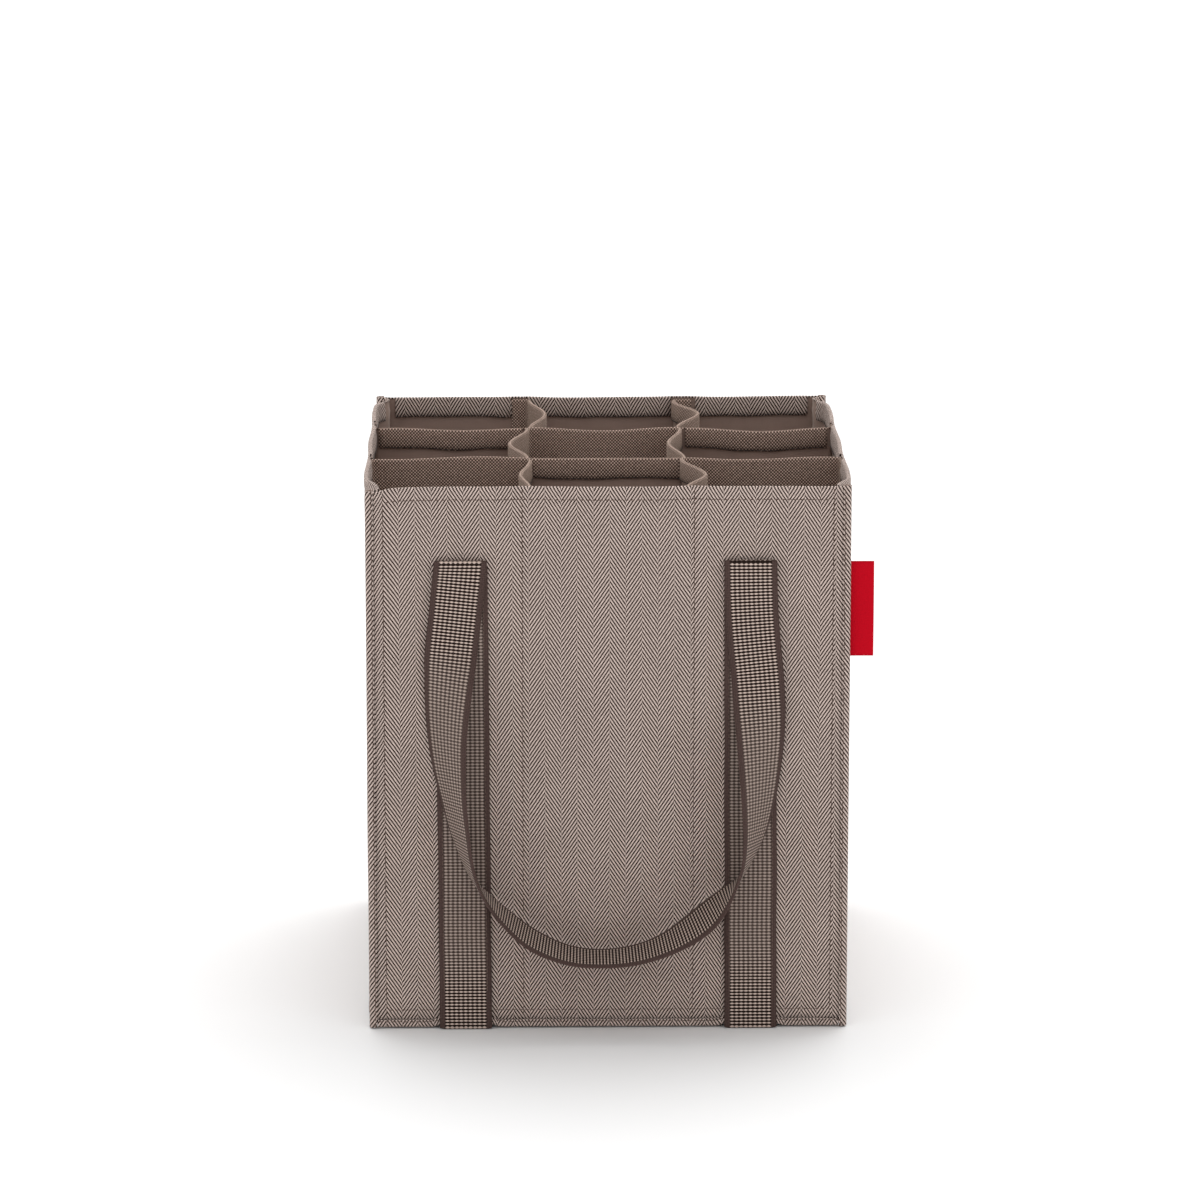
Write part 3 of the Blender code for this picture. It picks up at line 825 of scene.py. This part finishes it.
def outer_wall(name, node_name, path, low, foot_seam, spans, seams):
    """One outer wall with its hem, dipped at its rows of stitches."""
    size = sizes()
    cloth_name = name + "_cloth"
    run = run_of(path)
    half = run[-1] / 2
    level_seams = [low + foot_seam, TOP - size.hem_seam]
    held_at = [seam for seam in seams if abs(seam) < 0.1]

    def waves(distance, z):
        firm = max(dip_near(distance, seams), dip_near(z, level_seams))
        near_edge = smooth(min(TOP - z, z - low) / 0.02)
        soft = size.ripple * (1 + unevenness(cloth_name, distance, z)) * near_edge
        return size.seam_dip * firm + soft * (1 - firm)

    def sag(distance):
        loose = size.rim_sag * (1 + unevenness(cloth_name + "rim", distance, 0.5)) / 2
        return loose * (1 - dip_near(distance, held_at, 0.012))

    bm, whole, hem_thread, place = hemmed_cloth(
        cloth_name, lambda z: path, low, TOP, WALL, size.cloth, spans,
        [seam + half for seam in seams], level_seams, waves, sag,
    )
    piece = new_cloth(
        cloth_name, bm, ["herringbone", "coated reverse"], size.cloth, node_name,
    )
    reach = half - FIN - 0.001
    rows = [[(seam, z) for z in evenly(low + 0.004, TOP - 0.002, 80)] for seam in seams]
    rows += [[(distance, z) for distance in evenly(-reach, reach, 120)] for z in level_seams]
    bm = bmesh.new()
    for row in rows:
        line = [place(path, run, distance, z, -size.cloth / 2) for distance, z in row]
        add_stitches(bm, stitches_along(line))
    thread = new_piece(name + "_wall_thread", bm, ["sewing thread"])


def hem_spans(flange, end):
    """The lengths of a wall's hem, which leave out the flanges of the dividers."""
    near, far = flange - FLANGE_CLEAR, flange + FLANGE + FLANGE_CLEAR
    return [(-end, -far), (-near, near), (far, end)]


class BAG_OT_outer_walls(bpy.types.Operator):
    """Sews the front, rear and side walls with their hems and stitches"""

    bl_idname = "bottle_bag.outer_walls"
    bl_label = "Outer walls"

    def execute(self, context):
        middle = HALF_DEPTH - sizes().cloth / 2
        front = [Vector((x, -middle)) for x in evenly(-EDGE_X, EDGE_X, 40)]
        spans = hem_spans(DIVIDER_X, SEAM_X - BEND)
        corner_seam = SEAM_X - 0.0012
        seams = [-corner_seam, -DIVIDER_SEAM, DIVIDER_SEAM, corner_seam]
        for name, path in (("front", front), ("rear", [-point for point in front])):
            outer_wall(name, name + "_panel", path, PANEL_LOW.z, FOOT_SEAM, spans, seams)
        spans = hem_spans(DIVIDER_Y, INSIDE - SWELL_RISE / 2)
        seams = [-DIVIDER_Y - FLANGE / 2, DIVIDER_Y + FLANGE / 2]
        for name, side in (("left", -1), ("right", 1)):
            outer_wall(
                name, name + "_side_panel", side_plan(side), SIDE_LOW.z, SIDE_FOOT_SEAM, spans,
                seams,
            )
        return {"FINISHED"}


class BAG_OT_base(bpy.types.Operator):
    """Lays the base cloth in its tray over the straps and finishes the stiff board"""

    bl_idname = "bottle_bag.base"
    bl_label = "Base"

    def execute(self, context):
        size = sizes()
        columns, rows, lip = 96, 72, 5
        half_y = BASE_HIGH.y - size.cloth / 2
        low = BASE_LOW.z + size.cloth / 2
        lift = BOARD_LOW.z - GAP - size.cloth - BASE_LOW.z
        wall = side_plan(1)

        def half_x(y):
            near = min(wall, key=lambda point: abs(point.y - y))
            return min(near.x, BASE_HIGH.x + 0.0006) - 0.00125

        def spot_of(k, count):
            """Where step k lies from wall to wall, -1 to 1, and how far up a lip, 0 to 1."""
            share = (k - lip) / (count - 2 * lip)
            rise = max(-share, share - 1, 0.0) * (count - 2 * lip) / lip
            return min(max(share, 0.0), 1.0) * 2 - 1, rise

        def lay(i, j):
            a, rise_x = spot_of(i, columns)
            b, rise_y = spot_of(j, rows)
            y = b * (half_y - BASE_EDGE * (1 - rise_y) ** 2)
            x = a * (half_x(y) - BASE_EDGE * (1 - rise_x) ** 2)
            from_strap = abs(abs(x) - STRAP_X) - STRAP_WIDTH / 2 - 0.0005
            floor = low + lift * smooth(1 - from_strap / 0.0045)
            return Vector((x, y, floor + (BASE_HIGH.z - floor) * max(rise_x, rise_y) ** 1.5))

        def measure(i, j):
            a, rise_x = spot_of(i, columns)
            b, rise_y = spot_of(j, rows)
            return a * (0.118 + 0.004 * rise_x), b * (half_y + 0.004 * rise_y)

        bm, _ = laid_cloth(columns, rows, lay, measure)
        bmesh.ops.dissolve_degenerate(bm, dist=1e-6, edges=bm.edges)
        bmesh.ops.reverse_faces(bm, faces=bm.faces)
        piece = new_cloth(
            "base_cloth", bm, ["herringbone", "coated reverse"], size.cloth, "base_panel",
        )
        board = frame["nodes"]["base_board"]
        board.data.materials.clear()
        board.data.materials.append(finish_named("base board"))
        return {"FINISHED"}


def hung_cloth(name, piece_name, node_name, plan, spans, bends, waves, sag):
    """A divider with its hem, hung from seam to seam."""
    size = sizes()
    low, top = DIVIDER_LOW.z, DIVIDER_HIGH.z
    bm, whole, hem_thread, _ = hemmed_cloth(
        name, plan, low, top, DIVIDER, size.divider_cloth, spans, bends, [top - size.hem_seam],
        waves, sag,
    )
    # The two ends of the sleeve meet here, and the other cloths have nothing to join
    bmesh.ops.remove_doubles(bm, verts=bm.verts, dist=1e-5)
    piece = new_cloth(
        piece_name, bm, ["divider weave", "coated reverse"], size.divider_cloth, node_name,
    )


def bends_of(path, run, corners):
    """How far along the path it comes nearest to each of the corners, in order."""
    return sorted(
        min(zip(path, run), key=lambda pair: (pair[0] - Vector(corner)).length)[1]
        for corner in corners
    )


class BAG_OT_dividers(bpy.types.Operator):
    """Hangs the four corner dividers and the sleeve round the centre cell"""

    bl_idname = "bottle_bag.dividers"
    bl_label = "Dividers"

    def execute(self, context):
        size = sizes()
        low, top = DIVIDER_LOW.z, DIVIDER_HIGH.z

        def slack(z):
            return 0.72 + 0.28 * smooth((z - low) / (top - low))

        def wave(name, distance, z):
            return size.ripple * 2.2 * unevenness(name, distance, z) * smooth((top - z) / 0.03)

        for x, y in SWAYS:
            name = ("rear" if y > 0 else "front") + "_" + ("right" if x > 0 else "left")
            path = divider_plan(x, y, 1.0)
            run = run_of(path)
            half = run[-1] / 2
            corners = ((DIVIDER_X, INSIDE), (DIVIDER_X, DIVIDER_Y), (SEAM_X + SWELL, DIVIDER_Y))
            bends = bends_of(path, run, [(x * a, y * b) for a, b in corners])
            hung_cloth(
                name, name + "_divider_cloth", name + "_divider",
                lambda z, x=x, y=y: divider_plan(x, y, slack(z)),
                [(a - half + BEND_CLEAR, b - half - BEND_CLEAR) for a, b in zip(bends, bends[1:])],
                bends,
                lambda distance, z, name=name: wave(name, distance, z),
                lambda distance, name=name: size.rim_sag * (1 + unevenness(name, distance, 3.0)),
            )

        path = sleeve_plan(1.0)
        run = run_of(path)
        half = run[-1] / 2
        corners = [(x * DIVIDER_X, y * DIVIDER_Y) for x, y in SWAYS]
        bends = bends_of(path, run, corners)
        bends.append(bends[0] + 2 * half)
        spans = [(a - half, b - half) for a, b in zip(bends, bends[1:])]
        spans.append((spans[-1][0] - 2 * half, spans[-1][1] - 2 * half))
        hung_cloth(
            "sleeve", "sleeve_cloth", "centre_cell_sleeve", lambda z: sleeve_plan(slack(z)), spans,
            bends,
            lambda distance, z: wave("sleeve", distance, z) * smooth((half - abs(distance)) / 0.012),
            lambda distance: size.rim_sag,
        )
        return {"FINISHED"}


class BAG_OT_bindings(bpy.types.Operator):
    """Folds a tape round each corner fin and each lower edge"""

    bl_idname = "bottle_bag.bindings"
    bl_label = "Edge tapes"

    def tape(self, name, node_name, layers, ends, place, weave, measure):
        """A tape folded round layers, with place(inwards, behind, along) its frame.

        measure(run, along) is where the weave lies, run metres round the fold.
        """
        size = sizes()
        half = size.tape / 2
        clear = GAP + half
        bend = layers / 2 + clear
        side_steps = 5
        outline = [(inwards, -clear) for inwards in evenly(TAPE_WIDTH, bend, side_steps)]
        for angle in evenly(0.0, math.pi, 8)[1:-1]:
            inwards = bend - (bend - half) * math.sin(angle)
            outline.append((inwards, layers / 2 - bend * math.cos(angle)))
        outline += [(inwards, layers + clear) for inwards, _ in outline[side_steps::-1]]
        marks = evenly(*ends, 120)
        run = run_of([Vector(spot) for spot in outline])

        def lay(i, j):
            inwards, behind = outline[i]
            if i in (0, len(outline) - 1):
                inwards += TAPE_WOBBLE * unevenness(name, marks[j] * 3, 0.0)
            return place(inwards, behind, marks[j])

        bm, _ = laid_cloth(
            len(outline) - 1, len(marks) - 1, lay, lambda i, j: measure(run[i], marks[j])
        )
        outwards = (place(0.0, layers / 2, 0.0) - place(TAPE_WIDTH, layers / 2, 0.0)).normalized()
        bm.normal_update()
        facing = [face.normal.dot(outwards) for face in bm.faces]
        if sum(share for share in facing if share**2 > 0.5) < 0:
            bmesh.ops.reverse_faces(bm, faces=bm.faces)
        piece = new_cloth(
            name, bm, [weave, "coated reverse"], size.tape, node_name
        )
        bm = bmesh.new()
        for behind, sign in ((-GAP - size.tape, -1), (layers + GAP + size.tape, 1)):
            outer = (place(0, behind, 0) - place(0, behind - sign * 0.001, 0)).normalized()
            spots = [place(TAPE_WIDTH - 0.0009, behind, along) for along in evenly(*ends, 40)]
            add_stitches(bm, stitches_along([(spot, outer) for spot in spots]))
        thread = new_piece(name + "_thread", bm, ["sewing thread"])
        ends[1] - ends[0]

    def execute(self, context):
        half_width = -BINDING_LOW.x
        reach = half_width - TAPE_WIDTH - GAP

        def upright(x, y):
            return lambda a, b, c: drooped(Vector((x * (half_width - a), y * (HALF_DEPTH - b), c)))

        def level(y, low):
            def place(a, b, c):
                fin = (WALL + GAP) * smooth((abs(c) - SEAM_X + 0.002) / 0.0015)
                back = b + (fin if b > WALL / 2 else 0.0)
                from_strap = abs(abs(c) - STRAP_X) - STRAP_WIDTH / 2
                sunk = SINK * smooth((from_strap - 0.0005) / 0.003)
                return Vector((c, y * (HALF_DEPTH - back), low + a - sunk))
            return place

        for y, deep in ((-1, "front"), (1, "rear")):
            for x, wide in ((-1, "left"), (1, "right")):
                self.tape(
                    f"{deep}_{wide}_tape", f"{deep}_{wide}_binding", 2 * WALL + GAP,
                    (BINDING_LOW.z - SINK, BINDING_HIGH.z), upright(x, y),
                    "binding herringbone", lambda run, along: (run, along),
                )
            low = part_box(deep + "_lower_binding")[0].z
            self.tape(
                f"{deep}_lower_tape", f"{deep}_lower_binding", WALL, (-reach, reach),
                level(y, low), "herringbone",
                lambda run, along, y=y, top=low + TAPE_WIDTH: (-y * along, top - run),
            )
        return {"FINISHED"}


def webbing_strap(route, closed):
    """A closed length of webbing along a route of (middle, across, through) stations.

    At each station closed says how far painted light and shade even out the ribs and gaps of its
    weave, from not at all at 0 to most at 1.
    """
    half = STRAP_WIDTH / 2
    thick = sizes().webbing / 2
    face = []
    for u in evenly(-half, half, 14):
        thinned = 0.55 * max(0.0, abs(u) / half - 0.9) * 10
        face.append((u, thick * (1 - thinned), u))
    loop = face + [(half + WEBBING_EDGE, 0.0, half)]
    loop += [(u, -t, u) for u, t, _ in face[::-1]] + [(-half - WEBBING_EDGE, 0.0, -half)]
    count = len(loop)
    run = run_of([middle for middle, _, _ in route])

    def lay(i, j):
        middle, across, through = route[j]
        u, t, _ = loop[i % count]
        return middle + across * u + through * t

    def measure(i, j):
        return loop[i % count][2], run[j]

    bm, _ = laid_cloth(count, len(route) - 1, lay, measure, "closed", lambda j: closed[j])
    bmesh.ops.remove_doubles(bm, verts=bm.verts, dist=1e-6)
    ends = [edge for edge in bm.edges if edge.is_boundary]
    bmesh.ops.holes_fill(bm, edges=ends, sides=0)
    bmesh.ops.recalc_face_normals(bm, faces=bm.faces)
    if bm.calc_volume(signed=True) < 0:
        bmesh.ops.reverse_faces(bm, faces=bm.faces)
    return bm


class BAG_OT_strap_runs(bpy.types.Operator):
    """Runs the webbing up the front, under the base and up the back"""

    bl_idname = "bottle_bag.strap_runs"
    bl_label = "Strap runs"

    def execute(self, context):
        size = sizes()
        half = size.webbing / 2
        out = -STRAP_LOW.y - half
        near = HALF_DEPTH + GAP + half
        jog = TAPE_WIDTH + 0.0019
        top = STRAP_HIGH.z - half
        bend = [
            (out - 0.0008, 0.0), (out - 0.0002, 0.0003), (out, 0.0010), (out, jog - 0.001),
            (out, jog + 0.002), ((out + near) / 2, jog + 0.006), (near, jog + 0.010),
        ]
        flat = [(y, 0.0) for y in evenly(0.0012 - out, out - 0.0012, 120)]
        rise = bend + [(near, z) for z in evenly(jog + 0.012, top, 110)]
        route = [(-y, z) for y, z in rise[::-1]] + flat + rise
        # Painted shade: above its foot the strap's weave is evened out, duller and darker
        closed = [0.9 * smooth((z - 0.015) / 0.035) for _, z in route]
        across = Vector((1, 0, 0))
        for name, x in (("left", -STRAP_X), ("right", STRAP_X)):
            stations = []
            for k, (y, z) in enumerate(route):
                before = route[max(k - 1, 0)]
                after = route[min(k + 1, len(route) - 1)]
                along = Vector((0, after[0] - before[0], after[1] - before[1])).normalized()
                wave = 0.00025 * noise.noise(Vector((z * 30, x, y * 8)))
                lean = size.strap_lean * z / HINGE.z * (1 if y < 0 else -1)
                middle = Vector((x + wave - lean, y, z + half))
                stations.append((middle, across, across.cross(along)))
            new_piece(
                name + "_strap_run", webbing_strap(stations, closed), ["ribbed webbing"],
                nodes=[name + "_carry_strap"],
            )
            bm = bmesh.new()
            for y in (-1, 1):
                outer = Vector((0, y, 0))
                for side in (-1, 1):
                    edge = x + side * (STRAP_WIDTH / 2 - SELVEDGE + 0.0004)
                    foot = Vector((edge, y * (near + half), jog + 0.014))
                    head = Vector((edge + y * size.strap_lean, foot.y, top - 0.004))
                    add_stitches(bm, stitches_along([(foot, outer), (head, outer)]))
            new_piece(name + "_strap_thread", bm, ["sewing thread"])
        return {"FINISHED"}


# Where the front handle's middle hangs, from its left fold round to its right one: millimetres
# across and up, and how many degrees the webbing has turned from lying flat on the panel
HANDLE_HANGS = (
    (-73.1, 239.5, 0), (-74.4, 227.0, 0), (-76.0, 212.0, 4), (-77.7, 197.0, 14),
    (-79.0, 182.0, 22), (-79.9, 167.0, 33), (-80.0, 152.0, 43), (-79.0, 137.0, 51),
    (-77.1, 122.5, 60), (-74.5, 107.5, 66), (-71.2, 93.5, 74), (-66.8, 81.0, 80),
    (-60.1, 71.3, 89), (-50.7, 61.0, 96), (-38.5, 50.7, 99), (-21.3, 42.8, 96),
    (-4.5, 40.6, 94), (12.8, 42.3, 96), (27.6, 47.4, 100), (40.2, 54.9, 107),
    (50.0, 62.9, 108), (58.2, 72.0, 97), (64.4, 80.0, 83), (69.2, 90.5, 75),
    (72.7, 104.0, 62), (74.5, 120.0, 49), (75.3, 137.5, 35), (75.4, 154.5, 20),
    (74.8, 169.5, 5), (73.9, 183.0, 0), (72.5, 196.5, 0), (71.3, 210.5, 0),
    (70.6, 225.0, 0), (70.3, 239.5, 0),
)


def eased(marks, k, t):
    """A point on the smooth curve through the marks, past mark k by the share t."""
    one, two = marks[k], marks[k + 1]
    before = marks[k - 1] if k else one * 2 - two
    after = marks[k + 2] if k + 2 < len(marks) else two * 2 - one
    bend = (before * 2 - one * 5 + two * 4 - after) * t * t
    twist = (one * 3 - before - two * 3 + after) * t**3
    return (one * 2 + (two - before) * t + bend + twist) / 2


def handle_route():
    """Stations of the front handle, rolled round its hinge line at both ends.

    Next to the folds it stays flat, so that the lifted handle lies against the wall up to the rim.
    """
    half = sizes().webbing / 2
    flat = TOP - HINGE.z + 0.0006
    marks = [Vector((x / 1000, z / 1000, math.radians(turn))) for x, z, turn in HANDLE_HANGS]
    line = [eased(marks, k, t / 8) for k in range(len(marks) - 1) for t in range(8)] + marks[-1:]
    stations = []
    for k, (x, z, twist) in enumerate(line):
        before = line[max(k - 1, 0)]
        after = line[min(k + 1, len(line) - 1)]
        upright = Vector((0, -1 if k < len(line) / 2 else 1))
        settled = smooth((HINGE.z - z) / 0.012)
        ahead = upright.lerp((after - before).xy.normalized(), settled).normalized()
        outward = -left_of(ahead)
        twist *= smooth((HINGE.z - flat - z) / 0.020)
        cos, sin = math.cos(twist), math.sin(twist)
        across = Vector((outward.x * cos, sin, outward.y * cos))
        through = Vector((outward.x * sin, -cos, outward.y * sin))
        reach = STRAP_WIDTH / 2 * abs(sin) + half * abs(cos)
        stations.append((Vector((x, HINGE.y - GAP / 2 - reach, z)), across, through))
    radius = GAP / 2 + half
    rolls = []
    for middle, across, through in (stations[0], stations[-1]):
        roll = []
        for k in range(1, 13):
            angle = 1.5 * math.pi * k / 12
            spoke = Vector((0, -math.cos(angle), math.sin(angle)))
            roll.append((Vector((middle.x, HINGE.y, HINGE.z)) + spoke * radius, across, spoke))
        rolls.append(roll)
    return rolls[0][::-1] + stations + rolls[1]


class BAG_OT_handles(bpy.types.Operator):
    """Hangs the two webbing handles, each with a quarter turn in both arms"""

    bl_idname = "bottle_bag.handles"
    bl_label = "Handles"

    def execute(self, context):
        route = handle_route()
        # Painted light: where an arm turns on edge, its gaps are filled in as if lit from the side
        closed = [max(0.0, -2 * across.y * through.y) for _, across, through in route]
        half = STRAP_WIDTH / 2 - 0.0012
        for name, side in (("front", -1), ("rear", 1)):
            flip = Vector((-side, -side, 1))
            stations = [tuple(vector * flip for vector in station) for station in route]
            new_piece(
                name + "_handle_loop", webbing_strap(stations, closed), ["ribbed webbing"],
                body=name + "_handle", nodes=[name + "_handle"],
            )
            bm = bmesh.new()
            outer = Vector((0, side * 0.5, 0.87))
            for fold in (HANDLE_HANGS[0][0] / 1000, HANDLE_HANGS[-1][0] / 1000):
                x, y, z = -side * fold, side * (-HINGE.y + 0.0008), HINGE.z + 0.0017
                ends = [Vector((x + reach, y, z)) for reach in (-half, half)]
                add_stitches(bm, stitches_along([(end, outer) for end in ends]))
            new_piece(
                name + "_handle_thread", bm, ["sewing thread"], body=name + "_handle"
            )
        return {"FINISHED"}


class BAG_OT_label(bpy.types.Operator):
    """Folds the bare ribbon label in the right front seam"""

    bl_idname = "bottle_bag.label"
    bl_label = "Label"

    def execute(self, context):
        reach = TAG_HIGH.x - TAG_LOW.x
        height = TAG_HIGH.z - TAG_LOW.z
        middle = (TAG_HIGH.y + TAG_LOW.y) / 2
        ply = 0.00028
        radius = (TAG_HIGH.y - TAG_LOW.y - ply) / 2
        steps, rows = 12, 24
        outline = [(x, -radius) for x in evenly(0.0, reach, steps)[:-1]]
        for angle in evenly(0.0, math.pi, 6):
            x = reach - radius + radius * math.sin(angle)
            outline.append((x, -radius * math.cos(angle)))
        outline += [(x, radius) for x, _ in outline[steps - 1 :: -1]]

        def lay(i, j):
            x, y = outline[i]
            t = j / rows
            lean = 0.0006 * math.sin(math.pi * t) * (x / reach) ** 2
            return Vector((TAG_LOW.x + x, middle + y - lean, TAG_LOW.z + height * t))

        def measure(i, j):
            return outline[i][0], height * j / rows

        bm, _ = laid_cloth(len(outline) - 1, rows, lay, measure)
        piece = new_cloth("label", bm, ["label ribbon"], ply, "side_tag")
        return {"FINISHED"}


class BAG_OT_stage(bpy.types.Operator):
    """Sets the pale floor, the soft light and the camera"""

    bl_idname = "bottle_bag.stage"
    bl_label = "Stage"

    def execute(self, context):
        scene = context.scene
        bm = bmesh.new()
        bmesh.ops.create_grid(bm, x_segments=8, y_segments=8, size=20)
        mesh = bpy.data.meshes.new("floor")
        bm.to_mesh(mesh)
        bm.free()
        material = bpy.data.materials.new("pale floor")
        material.use_nodes = True
        shader = material.node_tree.nodes["Principled BSDF"]
        shader.inputs["Base Color"].default_value = (*colours().floor, 1.0)
        shader.inputs["Roughness"].default_value = 0.95
        shader.inputs["Specular IOR Level"].default_value = 0.0
        mesh.materials.append(material)
        placed("floor", mesh)

        world = bpy.data.worlds.new("studio")
        world.use_nodes = True
        scene.world = world
        tree = world.node_tree
        white = (1.0, 1.0, 1.0, 1.0)
        light = tree.nodes["Background"]
        light.inputs["Color"].default_value = white
        light.inputs["Strength"].default_value = 0.9
        rays = tree.nodes.new("ShaderNodeLightPath").outputs
        seen = maths("MAXIMUM", Value(rays["Is Camera Ray"]), Value(rays["Is Glossy Ray"]))
        seen = maths("MAXIMUM", seen, Value(rays["Is Transmission Ray"]))
        lit = Value(light.outputs[0])
        backdrop = node(tree, "ShaderNodeBackground", {"Color": white})
        chosen = node(tree, "ShaderNodeMixShader", {0: seen, 1: lit, 2: backdrop})
        tree.links.new(chosen.socket, tree.nodes["World Output"].inputs[0])

        lamp = bpy.data.lights.new("overhead softbox", "SUN")
        lamp.energy = 1.6
        lamp.angle = math.radians(60)
        placed("overhead softbox", lamp, turns=(-30.0, 5.0, 0.0))

        camera = bpy.data.cameras.new("camera")
        camera.lens = 166.52
        camera.sensor_width = 36.0
        camera.clip_end = 100.0
        scene.camera = placed(
            "camera", camera, (-0.0429, -2.7957, 0.8286), (90 - 12.8, 0.0, -0.83)
        )
        scene.view_settings.view_transform = "Standard"
        return {"FINISHED"}


class BAG_PT_panel(bpy.types.Panel):
    """The bag's sizes and colours, and the steps that sew it"""

    bl_idname = "BAG_PT_panel"
    bl_label = "Bottle Bag"
    bl_space_type = "VIEW_3D"
    bl_region_type = "UI"
    bl_category = "Bottle Bag"

    def draw(self, context):
        layout = self.layout
        for group in (sizes(), colours()):
            box = layout.box()
            for key in group.bl_rna.properties.keys():
                if key not in ("rna_type", "name"):
                    box.prop(group, key)
        for step in STEPS:
            layout.operator(step.bl_idname)


STEPS = (
    BAG_OT_strap_runs,
    BAG_OT_base,
    BAG_OT_outer_walls,
    BAG_OT_bindings,
    BAG_OT_dividers,
    BAG_OT_handles,
    BAG_OT_label,
    BAG_OT_stage,
)
CLASSES = (BagSizes, BagColours, *STEPS, BAG_PT_panel)


def register():
    for each in CLASSES:
        bpy.utils.register_class(each)
    bpy.types.Scene.bottle_bag_sizes = bpy.props.PointerProperty(type=BagSizes)
    bpy.types.Scene.bottle_bag_colours = bpy.props.PointerProperty(type=BagColours)


def unregister():
    del bpy.types.Scene.bottle_bag_colours
    del bpy.types.Scene.bottle_bag_sizes
    for each in reversed(CLASSES):
        bpy.utils.unregister_class(each)


def main():
    register()
    bpy.ops.bottle_bag.strap_runs()
    bpy.ops.bottle_bag.base()
    bpy.ops.bottle_bag.outer_walls()
    bpy.ops.bottle_bag.bindings()
    bpy.ops.bottle_bag.dividers()
    bpy.ops.bottle_bag.handles()
    bpy.ops.bottle_bag.label()
    bpy.ops.bottle_bag.stage()


if __name__ == "__main__":
    main()
